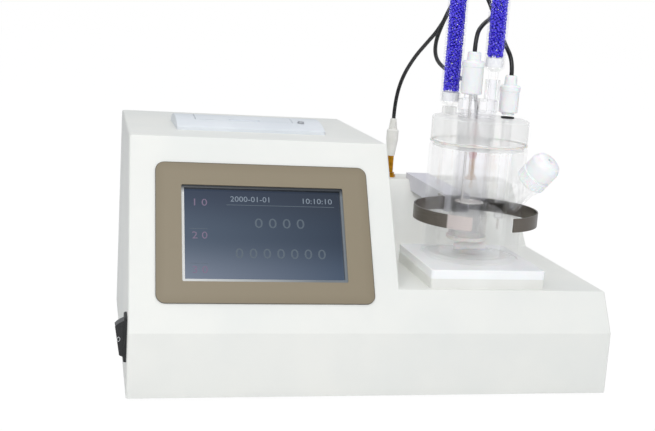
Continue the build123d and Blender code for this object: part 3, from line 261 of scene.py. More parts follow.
def wires_mesh(
    name: str, paths: np.ndarray, radius: float, reference: Point, sides: int = 6
) -> bpy.types.Mesh:
    """Draw round wires along equal-length lists of points.

    Point (w, i, j) is path_wi + r (cos(t_j) side + sin(t_j) across), where side is the
    reference crossed with the path's direction there.

    Args:
        name: The mesh's name.
        paths: Wires by steps by three, in console millimetres.
        radius: The wires' radius in millimetres.
        reference: A direction that no wire follows.
        sides: How many sides the round section gets.

    Returns:
        One mesh of all the wires, their ends closed.
    """
    count, steps = paths.shape[:2]
    direction = np.gradient(paths, axis=1)
    direction /= np.linalg.norm(direction, axis=-1, keepdims=True)
    side = np.cross(np.array(reference), direction)
    side /= np.linalg.norm(side, axis=-1, keepdims=True)
    across = np.cross(direction, side)
    angle = np.linspace(0.0, FULL_TURN, sides, endpoint=False)[:, None]
    spoke = np.cos(angle) * side[:, :, None] + np.sin(angle) * across[:, :, None]
    points = (paths[:, :, None] + radius * spoke + np.array(CORNER)) * MM
    wall = grid_faces(steps, sides, False)
    size = steps * sides
    faces = (wall[None] + size * np.arange(count)[:, None, None]).reshape(-1, 4).tolist()
    for end in (0, size - sides):
        rim = end + np.arange(sides)
        faces += (rim[None] + size * np.arange(count)[:, None]).tolist()
    mesh = new_mesh(name, points, faces)
    with reworked(mesh) as work:
        bmesh.ops.recalc_face_normals(work, faces=work.faces)
    return mesh


def lumps_mesh(name: str, centres: np.ndarray, radius: float, seed: int) -> bpy.types.Mesh:
    """Put a small broken lump at each centre.

    A lump is an icosahedron, turned at random and shrunk to between 0.7 and 1 along each axis.

    Args:
        name: The mesh's name.
        centres: Lumps by three, in metres.
        radius: A lump's longest reach, in metres.
        seed: The number that fixes the chance.

    Returns:
        One mesh of all the lumps.
    """
    chance = np.random.default_rng(seed)
    golden = (1 + math.sqrt(5)) / 2
    corner = np.array([(0, a, b * golden) for a in (-1, 1) for b in (-1, 1)], float)
    corner = np.concatenate([np.roll(corner, shift, 1) for shift in range(3)])
    corner /= np.linalg.norm(corner[0])
    gap = np.linalg.norm(corner[:, None] - corner[None], axis=-1)
    near = gap < 1.1  # An edge is 1.05 long, and the next distance is 1.7.
    i, j, k = np.meshgrid(*[np.arange(12)] * 3, indexing="ij")
    found = near[i, j] & near[j, k] & near[i, k] & (i < j) & (j < k)
    faces = np.stack([i[found], j[found], k[found]], -1)
    middle = corner[faces].mean(1)
    first, second, third = (corner[faces[:, n]] for n in range(3))
    normal = np.cross(second - first, third - first)
    inward = (normal * middle).sum(-1) < 0
    faces[inward] = faces[inward][:, ::-1]
    count = len(centres)
    turn = np.linalg.qr(chance.normal(size=(count, 3, 3)))[0]
    turn *= np.sign(np.linalg.det(turn))[:, None, None]
    stretch = chance.uniform(0.7, 1.0, (count, 1, 3))
    points = np.einsum("nij,nkj->nki", turn, corner[None] * stretch) * radius
    points = (points + centres[:, None]).reshape(-1, 3)
    all_faces = (faces[None] + 12 * np.arange(count)[:, None, None]).reshape(-1, 3)
    return new_mesh(name, points, all_faces)


def merged_copy(node: str) -> bpy.types.Object:
    """A CAD node's own shape with its triangles joined, so that its curves shade smooth.

    Args:
        node: The node's name.

    Returns:
        The copy, which replaces the node.
    """
    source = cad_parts[node].data
    points = np.zeros(len(source.vertices) * 3)
    source.vertices.foreach_get("co", points)
    corners = np.zeros(len(source.loops), np.int32)
    source.loops.foreach_get("vertex_index", corners)
    mesh = new_mesh(node + "_smooth", points, corners.reshape(-1, 3))
    with reworked(mesh) as work:
        bmesh.ops.remove_doubles(work, verts=work.verts, dist=CAD_WELD)
    piece = keep_mesh(node + "_smooth", mesh)
    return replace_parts(piece, node)


class Step(Enum):
    """What a shape does to the one that it meets."""

    JOIN = "UNION"
    CUT = "DIFFERENCE"


def combined(
    name: str, base: bpy.types.Mesh, steps: list[tuple[bpy.types.Mesh, Step]]
) -> bpy.types.Object:
    """Join closed shapes into one and cut others out of it.

    Args:
        name: The piece's name.
        base: The shape to start from.
        steps: The shapes and what each does, in order.

    Returns:
        The piece, with nothing live on it.
    """
    piece = keep_mesh(name, base)
    tools = []
    for shape, step in steps:
        tool = link(shape.name, shape)
        change = piece.modifiers.new(shape.name, "BOOLEAN")
        change.operation = step.value
        change.solver = "EXACT"
        change.object = tool
        tools.append(tool)
    evaluated = piece.evaluated_get(bpy.context.evaluated_depsgraph_get())
    result = bpy.data.meshes.new_from_object(evaluated)
    for spent in (*tools, piece):
        bpy.data.objects.remove(spent, do_unlink=True)
    weld(result, CAD_WELD)
    return keep_mesh(name, result, 35.0)


def outfit(
    piece: bpy.types.Object, body: str, slot: str, finish: "Finish", *nodes: str
) -> bpy.types.Object:
    """Give a new piece its material, its body and the nodes that it stands for.

    Args:
        piece: The piece.
        body: The body that it rides on.
        slot: The material slot that it belongs to; not used.
        finish: What it is made of.
        nodes: The CAD nodes that it replaces.

    Returns:
        The piece.
    """
    piece.data.materials.clear()
    piece.data.materials.append(finish.made())
    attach(piece, body)
    if nodes:
        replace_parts(piece, *nodes)
    LOG.info("%s rides on %s", piece.name, body)
    return piece


def wear(body: str, slot: str, finish: "Finish", *nodes: str) -> None:
    """Replace CAD nodes by smooth copies of themselves in one finish.

    Args:
        body: The body that they ride on.
        slot: The record's material slot that they belong to.
        finish: What they are made of.
        nodes: The nodes' names.
    """
    for node in nodes:
        outfit(merged_copy(node), body, slot, finish)


def dress(finish: "Finish", *nodes: str) -> None:
    """Give CAD nodes that stay in sight their material.

    Args:
        finish: The finish for all their faces.
        nodes: The nodes' names.
    """
    for node in nodes:
        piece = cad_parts[node]
        piece.data.materials.clear()
        piece.data.materials.append(finish.made())
        LOG.info("%s is dressed in %s", node, finish.name)


# ============================================================ shader nodes
Tree = bpy.types.NodeTree
Socket = bpy.types.NodeSocket


def add_node(
    tree: Tree,
    kind: str,
    settings: dict[str, Any] | None = None,
    links: dict[str | int, Socket] | None = None,
) -> bpy.types.Node:
    """Add a shader node, with its settings and its links.

    Args:
        tree: The material's node tree.
        kind: The node's type, without the word that all shader nodes start with.
        settings: Values for its sockets, by name, or for its own properties.
        links: Output sockets to join to its inputs, by input name or number.

    Returns:
        The node.
    """
    node = tree.nodes.new("ShaderNode" + kind)
    for key, value in (settings or {}).items():
        if not hasattr(node, key) and key in node.inputs:
            node.inputs[key].default_value = value
        else:
            setattr(node, key, value)
    for key, value in (links or {}).items():
        tree.links.new(value, node.inputs[key])
    return node


def fill(tree: Tree, node: bpy.types.Node, values: dict[int, Any]) -> None:
    """Set or join a node's inputs, by number, to numbers, colours or sockets."""
    for index, value in values.items():
        if isinstance(value, Socket):
            tree.links.new(value, node.inputs[index])
        else:
            node.inputs[index].default_value = value


def blend(tree: Tree, first: Any, second: Any, share: Any) -> Socket:
    """Blend two colours.

    Args:
        tree: The material's tree.
        first: Colour, hex digits or socket where the share is 0.
        second: The same where the share is 1.
        share: Number or socket.

    Returns:
        The blended colour's socket.
    """
    mix = add_node(tree, "Mix", {"data_type": "RGBA"})
    first, second = (linear(c) if isinstance(c, str) else c for c in (first, second))
    fill(tree, mix, {0: share, 6: first, 7: second})
    return mix.outputs[2]


def sum_of(tree: Tree, operation: str, *values: Any) -> Socket:
    """A Math node's result.

    Args:
        tree: The material's tree.
        operation: The node's operation.
        values: Numbers or sockets, in order.

    Returns:
        The result's socket.
    """
    node = add_node(tree, "Math", {"operation": operation})
    fill(tree, node, dict(enumerate(values)))
    return node.outputs[0]


def remap(
    tree: Tree, value: Socket, source: Pair = (0.0, 1.0), target: Pair = (0.0, 1.0)
) -> Socket:
    """Stretch a value from one range to another, and hold it at the ends.

    Args:
        tree: The material's tree.
        value: The value's socket.
        source: The range that it comes in.
        target: The range that it leaves in.

    Returns:
        The stretched value's socket.
    """
    ends = {"From Min": source[0], "From Max": source[1], "To Min": target[0], "To Max": target[1]}
    return add_node(tree, "MapRange", ends, {"Value": value}).outputs["Result"]


def noise(tree: Tree, vector: Socket, scale: float, detail: float, rough: float = 0.5) -> Socket:
    """A noise texture's value.

    Args:
        tree: The material's tree.
        vector: Where to read it.
        scale: Features per unit of the vector.
        detail: How many finer layers it has.
        rough: How strong they are.

    Returns:
        The value's socket.
    """
    settings = {"Scale": scale, "Detail": detail, "Roughness": rough}
    return add_node(tree, "TexNoise", settings, {"Vector": vector}).outputs["Fac"]


def own_place(tree: Tree) -> Socket:
    """Object coordinates, in metres."""
    return add_node(tree, "TexCoord").outputs["Object"]


def split(tree: Tree, vector: Socket) -> tuple[Socket, Socket, Socket]:
    """A vector's three parts."""
    return tuple(add_node(tree, "SeparateXYZ", links={"Vector": vector}).outputs)


@dataclass(frozen=True)
class Surface:
    """A material that is being built: its tree and its principled shader."""

    tree: Tree
    shader: bpy.types.Node

    def put(self, **inputs: Any) -> None:
        """Set or join the shader's inputs, named with low lines instead of spaces."""
        for name, value in inputs.items():
            socket = self.shader.inputs[name.replace("_", " ")]
            if isinstance(value, Socket):
                self.tree.links.new(value, socket)
            else:
                socket.default_value = linear(value) if isinstance(value, str) else value

    def emboss(self, height: Socket, strength: float, depth_mm: float) -> None:
        """Roughen the surface's normals.

        Args:
            height: The relief's socket.
            strength: How far it shows.
            depth_mm: How deep it is.
        """
        settings = {"Strength": strength, "Distance": depth_mm * MM}
        bump = add_node(self.tree, "Bump", settings, {"Height": height})
        self.put(Normal=bump.outputs["Normal"])


class Finish(ABC):
    """What a surface is made of. Each finish becomes one material, on first use."""

    name: str

    @abstractmethod
    def paint(self, surface: Surface) -> None:
        """Join up the material's nodes."""

    def made(self) -> bpy.types.Material:
        """Build the material once and reuse it."""
        if self.name in bpy.data.materials:
            return bpy.data.materials[self.name]
        material = bpy.data.materials.new(self.name)
        material.use_nodes = True
        tree = material.node_tree
        tree.nodes.clear()
        shader = add_node(tree, "BsdfPrincipled")
        add_node(tree, "OutputMaterial", links={"Surface": shader.outputs["BSDF"]})
        self.paint(Surface(tree, shader))
        return material


# ============================================================ finishes
@dataclass(frozen=True)
class Grained(Finish):
    """An opaque finish with a fine grain: enamel, moulded plastic, rubber, paper or cast metal.

    A second, larger noise shifts its tone a little, as hand marks and uneven cure do.
    """

    name: str
    colour: str
    shade: str
    roughness: float
    grain_mm: float
    relief: float
    drift_mm: float = 40.0
    metallic: float = 0.0
    coat: float = 0.0
    sheen: float = 0.0
    under_skin: float = 0.0

    def paint(self, surface: Surface) -> None:
        """Blend the two tones by the larger noise, and cut the grain with the finer one."""
        tree = surface.tree
        spot = own_place(tree)
        drift = noise(tree, spot, per_metre(self.drift_mm), 3.0)
        grain = noise(tree, spot, per_metre(self.grain_mm), 2.0, 0.6)
        share = remap(tree, drift, (0.35, 0.65))
        shine = (self.roughness * 0.88, min(1.0, self.roughness * 1.12))
        surface.put(
            Base_Color=blend(tree, self.colour, self.shade, share),
            Roughness=remap(tree, grain, target=shine),
            Metallic=self.metallic,
            Coat_Weight=self.coat,
            Sheen_Weight=self.sheen,
        )
        surface.emboss(grain, self.relief, self.grain_mm * 0.15)
        if self.under_skin > 0:
            surface.put(Subsurface_Weight=self.under_skin, Subsurface_Scale=2.0 * MM)


@dataclass(frozen=True)
class Clear(Finish):
    """Glass or clear plastic, with faint drawing lines or polishing haze in its gloss.

    A thin wall lets most light straight through: its presence is the share that it bends
    and mirrors.
    """

    name: str
    tint: str
    index: float
    roughness: float
    ripple_mm: float = 14.0
    ripple: float = 0.03
    clear: float = 1.0
    presence: float = 0.16

    def paint(self, surface: Surface) -> None:
        """Set the glass's share of light, and wave its surface."""
        wave = noise(surface.tree, own_place(surface.tree), per_metre(self.ripple_mm), 1.0)
        surface.emboss(wave, self.ripple, 0.2)
        surface.put(
            Base_Color=self.tint,
            Transmission_Weight=self.clear,
            IOR=self.index,
            Roughness=self.roughness,
            Alpha=self.presence,
        )


@dataclass(frozen=True)
class Brushed(Finish):
    """Metal strip bent to a circle and brushed along its length.

    The lines follow (R t, z), where t is the angle about the circle's middle. One stretch
    is painted paler than the rest, as a painted highlight.
    """

    name: str
    colour: str
    shade: str
    # Colour of the painted highlight on one stretch of the band.
    painted_highlight: str
    roughness: float
    centre: Pair
    radius_mm: float
    # Angles in degrees between which the painted highlight lies.
    highlight_from: float
    highlight_to: float
    line_mm: float = 0.3
    stretch: float = 25.0
    blur: float = 1.5

    def paint(self, surface: Surface) -> None:
        """Stretch a noise into lines, and paint a highlight between the two angles."""
        tree = surface.tree
        x, y, z = split(tree, own_place(tree))
        middle = place(*self.centre, 0.0)
        across, back = (sum_of(tree, "SUBTRACT", p, m) for p, m in zip((x, y), middle))
        angle = sum_of(tree, "ARCTAN2", back, across)
        along = sum_of(tree, "MULTIPLY", angle, self.radius_mm / self.stretch)
        height = sum_of(tree, "MULTIPLY", z, per_metre(self.line_mm))
        strip = add_node(tree, "CombineXYZ", links={"X": along, "Y": height})
        lines = noise(tree, strip.outputs["Vector"], 1.0, 3.0, 0.7)
        # Share of the painted highlight: one between the two angles, fading over the blur.
        ends = ((self.highlight_from, -self.blur), (self.highlight_to, self.blur))
        edges = [(math.radians(end + blur), math.radians(end)) for end, blur in ends]
        share = sum_of(tree, "MULTIPLY", *(remap(tree, angle, edge) for edge in edges))
        tone = blend(tree, self.colour, self.shade, lines)
        surface.put(
            Base_Color=blend(tree, tone, self.painted_highlight, share),
            Roughness=remap(tree, lines, target=(self.roughness * 0.7, self.roughness * 1.3)),
            Metallic=0.85,
        )
        surface.emboss(lines, 0.15, 0.02)


# Baked satin enamel on steel sheet: off-white, with the orange peel of a sprayed coat.
ENAMEL = Grained("baked_satin_enamel", "EBEBE6", "E6E7E3", 0.42, 1.1, 0.10, 60.0)
# The same enamel on the tray, in a darker grey.
TRAY_ENAMEL = Grained("baked_enamel_underside", "C9C9C4", "BDBDB8", 0.5, 1.1, 0.15)
# Moulded black nylon: dull, spark-eroded texture.
NYLON = Grained("moulded_black_nylon", "17181A", "1E1F21", 0.48, 0.5, 0.35)
# Polished black nylon of the rocker: glossy with soft highlights.
ROCKER_NYLON = Grained("polished_black_nylon", "0E0F11", "141518", 0.2, 0.8, 0.06, coat=0.2)
# Moulded ABS in silver grey, with a fine mould texture.
PRINTER_ABS = Grained("moulded_silver_abs", "E0E4E8", "D8DDE2", 0.42, 0.45, 0.22)
# Off-white painted die casting of the clamp's bracket.
BRACKET_PAINT = Grained("painted_die_casting", "DEDDE4", "D5D4DC", 0.45, 0.8, 0.2)
# Thermal paper, smooth and white with faint fibres.
PAPER = Grained("thermal_paper", "F2F2EE", "E9E9E4", 0.75, 0.3, 0.3)
# Moulded rubber: near black and dry.
RUBBER = Grained("moulded_rubber", "1B1B1C", "232324", 0.75, 0.4, 0.4)
# Silicone rubber, milky white and slightly translucent.
SILICONE = Grained("white_silicone", "ECEAE4", "E2E0DA", 0.5, 0.6, 0.15, under_skin=0.3)
# Pale ABS of the spacer under the plate.
SPACER_ABS = Grained("moulded_beige_abs", "EDEDE9", "E6E6E1", 0.5, 0.5, 0.2)
# Polished white acrylic of the cell's plate.
PLATE_ACRYLIC = Grained(
    "polished_white_acrylic", "FDFDFD", "F8F9F9", 0.16, 3.0, 0.03, under_skin=0.1
)
# Turned fluoropolymer: pure white, waxy, light passes a little way in.
FLUOROPOLYMER = Grained(
    "turned_fluoropolymer", "F7F8F8", "F1F2F3", 0.33, 0.5, 0.10, under_skin=0.35
)
# Sintered glass: a white granular disc.
SINTER = Grained("sintered_glass", "F1F0EC", "DFDEDA", 0.7, 0.35, 0.8, 1.2, under_skin=0.4)
# Drawn platinum: grey-white and bright.
PLATINUM = Grained("drawn_platinum", "EDEAE6", "DCD9D5", 0.3, 0.3, 0.2, 2.0, metallic=1.0)
# Nickel plating on screws.
NICKEL = Grained("nickel_plate", "C8C4BA", "B7B3AA", 0.3, 0.3, 0.15, 3.0, metallic=1.0)
# Gold plating on brass, worn dull in places.
GOLD = Grained("gold_plate", "D99A2A", "B07A1C", 0.28, 0.3, 0.15, 3.0, metallic=1.0)
# Satin anodised aluminium of the screen's frame.
ANODISED = Grained(
    "satin_anodised_aluminium", "C3C5C8", "B4B6BA", 0.38, 0.25, 0.2, 8.0, metallic=1.0
)
# Tin plate on sheet steel.
TIN = Grained("tin_plate", "A9AAA8", "949593", 0.42, 0.5, 0.25, 6.0, metallic=1.0)
# Zinc-plated drawn steel of the motor's can.
MOTOR_STEEL = Grained("zinc_plated_steel", "9FA1A3", "8B8D90", 0.36, 0.4, 0.2, 5.0, metallic=1.0)
# Vinyl cable sheath: black, softly shiny.
VINYL = Grained("black_vinyl_sheath", "101012", "17171A", 0.36, 0.7, 0.15, 6.0)
# Red moulded vinyl of one plug's handle.
RED_VINYL = Grained("red_moulded_vinyl", "B3151D", "9C1118", 0.3, 0.6, 0.12, 5.0)
# White moulded vinyl of the other plug's handle.
WHITE_VINYL = Grained("white_moulded_vinyl", "F0EFEA", "E7E6E0", 0.34, 0.6, 0.10, 5.0)
# Green solder mask on a circuit board.
SOLDER_MASK = Grained("green_solder_mask", "1E5B34", "174A2A", 0.35, 0.8, 0.25, 4.0, coat=0.3)
# Indicating silica gel: vivid blue-violet granules, paler where they are chipped.
GEL = Grained("blue_silica_gel", "1503C8", "6A5CF4", 0.22, 1.1, 0.5, 1.7)
# Cotton wool: white and fuzzy.
WOOL = Grained("cotton_wool", "FAFAFA", "ECECF0", 0.95, 0.5, 1.0, 1.5, sheen=0.4)
# White ink pressed into the rocker.
ROCKER_INK = Grained("white_pad_print", "D9DBDC", "BFC1C3", 0.5, 0.4, 0.2, 2.0)
# Borosilicate glass: colourless, very smooth.
BOROSILICATE = Clear("borosilicate_glass", "FDFEFF", 1.4, 0.0, presence=0.12)
# The chamber's tube, drawn a little thicker, so its sides show as pale lavender lines.
CHAMBER_GLASS = Clear("drawn_chamber_glass", "F4F4FF", 1.4, 0.0, 9.0, 0.05, presence=0.17)
# Thin drawn borosilicate tube.
DRAWN_GLASS = Clear("drawn_borosilicate_tube", "FDFEFF", 1.3, 0.0, 9.0, 0.05, presence=0.09)
# Turned acrylic of the lid, milky: light passes, but outlines blur.
LID_ACRYLIC = Clear("turned_milky_acrylic", "FFFFFD", 1.3, 0.4, 10.0, 0.04, 0.25, 0.33)
# Ground and polished glass of the chamber's head.
HEAD_GLASS = Clear("pressed_borosilicate_glass", "F8F8FF", 1.35, 0.03, 10.0, 0.06, presence=0.3)
# Brushed stainless strip, with a painted highlight on a stretch at its front.
STAINLESS = Brushed(
    "brushed_stainless_strip",
    "857E76",
    "5F5952",
    # Colour of the painted highlight.
    "D9CFCB",
    0.3,
    (255.0, 69.5),
    46.0,
    highlight_from=-134.0,
    highlight_to=-100.0,
)


# ============================================================ the sloped front
@dataclass(frozen=True)
class Slope:
    """The sloped front's own axes: right, up the slope, and out of it."""

    run_mm: float = 76.7
    rise_mm: float = 120.1
    foot_mm: float = 44.3

    @property
    def lean(self) -> float:
        """The slope's angle above the level, in radians."""
        return math.atan2(self.rise_mm, self.run_mm)

    def mapping(self, tree: Tree) -> Socket:
        """Turn Object coordinates into millimetres across and up the slope.

        The point is turned about X by minus the slope's angle and moved so that the
        slope's lower left corner is the origin.

        Args:
            tree: The material's tree.

        Returns:
            The socket of (across, up, out).
        """
        turn = Matrix.Rotation(-self.lean, 3, "X")
        corner = turn @ Vector(place(0.0, 0.0, self.foot_mm))
        settings = {
            "Location": tuple(-corner / MM),
            "Rotation": (-self.lean, 0.0, 0.0),
            "Scale": (1 / MM,) * 3,
        }
        return add_node(tree, "Mapping", settings, {"Vector": own_place(tree)}).outputs["Vector"]

    def lay(self, mesh: bpy.types.Mesh, across: float, up: float, depth: float) -> None:
        """Lay a flat mesh on a plane under the slope.

        Args:
            mesh: The mesh, in metres, in its own plane.
            across: Where its origin goes, in millimetres to the right.
            up: And in millimetres up the slope.
            depth: How far under the slope the plane is.
        """
        cosine, sine = math.cos(self.lean), math.sin(self.lean)
        origin = place(
            across, up * cosine + depth * sine, self.foot_mm + up * sine - depth * cosine
        )
        mesh.transform(Matrix.Translation(origin) @ Matrix.Rotation(self.lean, 4, "X"))


SLOPE = Slope()


def rounded_box_distance(
    tree: Tree, across: Socket, up: Socket, centre: Pair, half: Pair, corner: float
) -> Socket:
    """How far outside a rounded rectangle a point is; inside it is negative.

    With q = |p - centre| - half + corner, it is |max(q, 0)| + min(max(q.x, q.y), 0) - corner.

    Args:
        tree: The material's tree.
        across: Socket of the first coordinate, in millimetres.
        up: Socket of the second coordinate.
        centre: The rectangle's middle.
        half: Half its width and height.
        corner: Its corners' radius.

    Returns:
        The distance's socket.
    """
    q = []
    for value, middle, reach in ((across, centre[0], half[0]), (up, centre[1], half[1])):
        offset = sum_of(tree, "ABSOLUTE", sum_of(tree, "SUBTRACT", value, middle))
        q.append(sum_of(tree, "SUBTRACT", offset, reach - corner))
    outer = [sum_of(tree, "MAXIMUM", value, 0.0) for value in q]
    squares = [sum_of(tree, "MULTIPLY", value, value) for value in outer]
    length = sum_of(tree, "SQRT", sum_of(tree, "ADD", squares[0], squares[1]))
    inner = sum_of(tree, "MINIMUM", sum_of(tree, "MAXIMUM", q[0], q[1]), 0.0)
    return sum_of(tree, "SUBTRACT", sum_of(tree, "ADD", length, inner), corner)


@dataclass(frozen=True)
class PrintedMembrane(Finish):
    """Back-printed polyester: satin bronze, darker towards its edge, with a painted shadow line
    along the edge.
    """

    name: str = "printed_polyester_membrane"
    colour: str = "8C816C"
    shade: str = "857A65"
    # Colour of the painted shadow line in the gap along the membrane's edge.
    line: str = "4E483D"
    centre: Pair = (92.55, 71.5)
    half: Pair = (74.85, 51.1)
    corner_mm: float = 6.5
    fade_mm: float = 7.0
    # Width of the painted shadow line, in millimetres.
    line_mm: float = 0.35

    def paint(self, surface: Surface) -> None:
        """Darken the print towards its edge, and draw a painted shadow line along the edge."""
        tree = surface.tree
        vector = SLOPE.mapping(tree)
        across, up, _ = split(tree, vector)
        outside = rounded_box_distance(tree, across, up, self.centre, self.half, self.corner_mm)
        tone = blend(tree, self.colour, self.shade, remap(tree, outside, (-self.fade_mm, 0.0)))
        # A thin painted shadow line along the edge.
        line = sum_of(tree, "GREATER_THAN", outside, -self.line_mm)
        surface.put(Base_Color=blend(tree, tone, self.line, line), Roughness=0.4)
        surface.emboss(noise(tree, vector, 2.2, 2.0), 0.12, 0.05)


@dataclass(frozen=True)
class LitPicture(Finish):
    """A lit liquid-crystal picture behind a glossy touch film: navy, paler to the lower left.

    Its two sides each run through three colours from the foot to the top, and the picture
    blends from the left side's colour to the right side's.
    """

    name: str = "lit_crystal_display"
    left: tuple[str, str, str] = ("818B9C", "566375", "3F495C")
    right: tuple[str, str, str] = ("4B5A6F", "364253", "333B48")
    across: Pair = (35.4, 149.2)
    up: Pair = (35.9, 106.0)

    def side(self, tree: Tree, height: Socket, stops: tuple[str, str, str]) -> Socket:
        """One side's colour at a height, from 0 at the foot to 1 at the top."""
        ramp = add_node(tree, "ValToRGB", links={"Fac": height})
        ramp.color_ramp.interpolation = "EASE"
        ramp.color_ramp.elements.new(0.5)
        for element, position, colour in zip(ramp.color_ramp.elements, (0.0, 0.5, 1.0), stops):
            element.position = position
            element.color = linear(colour)
        return ramp.outputs["Color"]

    def paint(self, surface: Surface) -> None:
        """Light the picture from its two sides' colours."""
        tree = surface.tree
        x, y, _ = split(tree, SLOPE.mapping(tree))
        height = remap(tree, y, self.up)
        left, right = (self.side(tree, height, stops) for stops in (self.left, self.right))
        surface.put(
            Emission_Color=blend(tree, left, right, remap(tree, x, self.across)),
            Emission_Strength=0.85,
            Base_Color="0C0F14",
            Roughness=0.14,
            Specular_IOR_Level=0.3,
        )


@dataclass(frozen=True)
class LitInk(Finish):
    """Pixels of the screen that glow paler than the ground behind them."""

    name: str
    colour: str
    pixel_mm: float = 0.8

    def paint(self, surface: Surface) -> None:
        """Let the glow vary from pixel to pixel."""
        tree = surface.tree
        pixels = noise(tree, own_place(tree), per_metre(self.pixel_mm), 1.0)
        dim = tuple(0.7 * part for part in linear(self.colour)[:3]) + (1.0,)
        surface.put(
            Emission_Color=blend(tree, self.colour, dim, pixels),
            Emission_Strength=0.85,
            Base_Color="20242A",
            Roughness=0.3,
        )


@dataclass(frozen=True)
class MirrorFrame(Finish):
    """The screen's metal frame: a painted reflection at its foot and left side, and a painted
    shadow darkening it towards its top.
    """

    name: str = "satin_anodised_frame"
    # The painted reflection on the frame's left and lower bevel.
    painted_reflection: str = "D2D3D1"
    dull: str = "7B8288"
    # The painted shadow along the frame's top.
    painted_shadow: str = "3B3E42"
    across: Pair = (36.0, 130.0)
    up: Pair = (100.0, 105.0)

    def paint(self, surface: Surface) -> None:
        """Blend the three tones by the place on the slope: the painted reflection to the left, the
        painted shadow at the top.
        """
        tree = surface.tree
        vector = SLOPE.mapping(tree)
        x, y, _ = split(tree, vector)
        tone = blend(tree, self.painted_reflection, self.dull, remap(tree, x, self.across))
        surface.put(
            Base_Color=blend(tree, tone, self.painted_shadow, remap(tree, y, self.up)),
            Roughness=remap(tree, noise(tree, vector, 4.0, 2.0), target=(0.3, 0.42)),
            Metallic=0.5,
        )


MEMBRANE = PrintedMembrane()
PICTURE = LitPicture()
FRAME_FINISH = MirrorFrame()
# Digits of the date and time: pale and crisp.
CLOCK_INK = LitInk("pale_screen_pixels", "93A0AE")
# The large digits: fainter.
READOUT_INK = LitInk("faint_screen_pixels", "5D6A76")
# The keys' digits at the left: dull mauve.
KEY_INK = LitInk("mauve_screen_pixels", "84708C")


# ============================================================ leads
@dataclass
class Lead:
    """One electrode's lead: a limp vinyl cable on one smooth curve."""

    name: str
    node: str
    route: list[Point]
    length_mm: float
    plug: str
    diameter_mm: float = 3.2

    def build(self) -> bpy.types.Object:
        """Lay the cable along its route as one spline.

        The line is a second-order NURBS curve with the route as its control points.

        Returns:
            The curve.
        """
        curve = bpy.data.curves.new(self.name, "CURVE")
        curve.dimensions = "3D"
        curve.bevel_depth = self.diameter_mm / 2 * MM
        curve.bevel_resolution = 6
        curve.resolution_u = 16
        curve.use_fill_caps = True
        spline = curve.splines.new("NURBS")
        spline.points.add(len(self.route) - 1)
        places = np.array([(*place(*point), 1.0) for point in self.route])
        spline.points.foreach_set("co", places.ravel())
        spline.order_u = 3
        spline.use_endpoint_u = True
        piece = link(self.name, curve)
        outfit(piece, "cell_head", "cable", VINYL, self.node)
        return piece


WHITE_LEAD = Lead(
    "white_plug_cable",
    "white_lead",
    [
        (231.0, 226.0, 169.0),
        (231.0, 226.0, 182.5),
        (232.45, 216.06, 204.0),
        (235.38, 194.02, 223.0),
        (238.8, 171.99, 236.5),
        (241.77, 155.01, 247.0),
        (245.69, 143.07, 261.5),
        (251.15, 132.06, 280.5),
        (261.65, 119.51, 284.5),
        (266.65, 108.04, 270.0),
        (269.61, 97.02, 253.5),
        (272.01, 84.47, 241.5),
        (274.9, 73.0, 229.8),
        (274.9, 73.0, 219.3),
    ],
    251.5,
    "white_plug",
)
RED_LEAD = Lead(
    "red_plug_cable",
    "red_lead",
    [
        (306.0, 226.0, 169.0),
        (306.0, 226.0, 182.5),
        (298.03, 217.03, 199.0),
        (280.02, 198.94, 208.0),
        (258.97, 176.99, 215.0),
        (243.5, 159.99, 224.0),
        (237.45, 146.07, 238.0),
        (238.48, 131.08, 256.0),
        (242.97, 121.03, 273.0),
        (251.5, 114.07, 288.0),
        (264.0, 106.03, 288.0),
        (268.98, 98.46, 273.0),
        (263.02, 91.03, 260.5),
        (252.03, 80.52, 254.8),
        (244.4, 71.4, 247.5),
        (244.4, 71.4, 235.0),
    ],
    284.6,
    "red_plug",
)


# ============================================================ housing
@dataclass
class Housing:
    """The console's sheet-metal case: seven enamelled sheets on four rubber feet."""

    sheets: tuple[str, ...] = (
        "front_shell",
        "tower_top",
        "tower_wall",
        "left_side",
        "right_side",
        "deck_shelf",
        "rear_panel",
    )

    def build(self) -> None:
        """Dress the sheets, the tray, the feet and the screws."""
        wear("console", "shell", ENAMEL, *self.sheets)
        dress(TRAY_ENAMEL, "base_tray")
        dress(RUBBER, "feet")
        wear("console", "screw", NICKEL, "screws")


@dataclass
class Electronics:
    """What the case holds: the boards and the sockets in its rear."""

    def build(self) -> None:
        """Dress the boards, the mains inlet and the data port."""
        dress(SOLDER_MASK, "main_board", "power_supply")
        dress(NYLON, "mains_inlet")
        dress(TIN, "data_port")


@dataclass(frozen=True)
class ScreenLine:
    """A row of digits on the screen: its lower left corner and size in millimetres."""

    name: str
    digits: str
    across: float
    up: float
    width: float
    height: float
    ink: LitInk


SCREEN_LINES = (
    ScreenLine("date_digits", "2000-01-01", 69.4, 95.5, 27.6, 4.0, CLOCK_INK),
    ScreenLine("time_digits", "10:10:10", 119.6, 95.2, 22.3, 4.0, CLOCK_INK),
    ScreenLine("upper_readout", "0 0 0 0", 85.8, 76.3, 35.4, 7.2, READOUT_INK),
    ScreenLine("lower_readout", "0 0 0 0 0 0 0", 71.8, 54.0, 63.4, 7.2, READOUT_INK),
    ScreenLine("upper_key_digits", "1 0", 42.6, 91.9, 10.8, 5.2, KEY_INK),
    ScreenLine("middle_key_digits", "2 0", 42.4, 67.7, 10.8, 5.2, KEY_INK),
    ScreenLine("lower_key_digits", "3 0", 42.2, 42.9, 10.8, 5.2, KEY_INK),
)


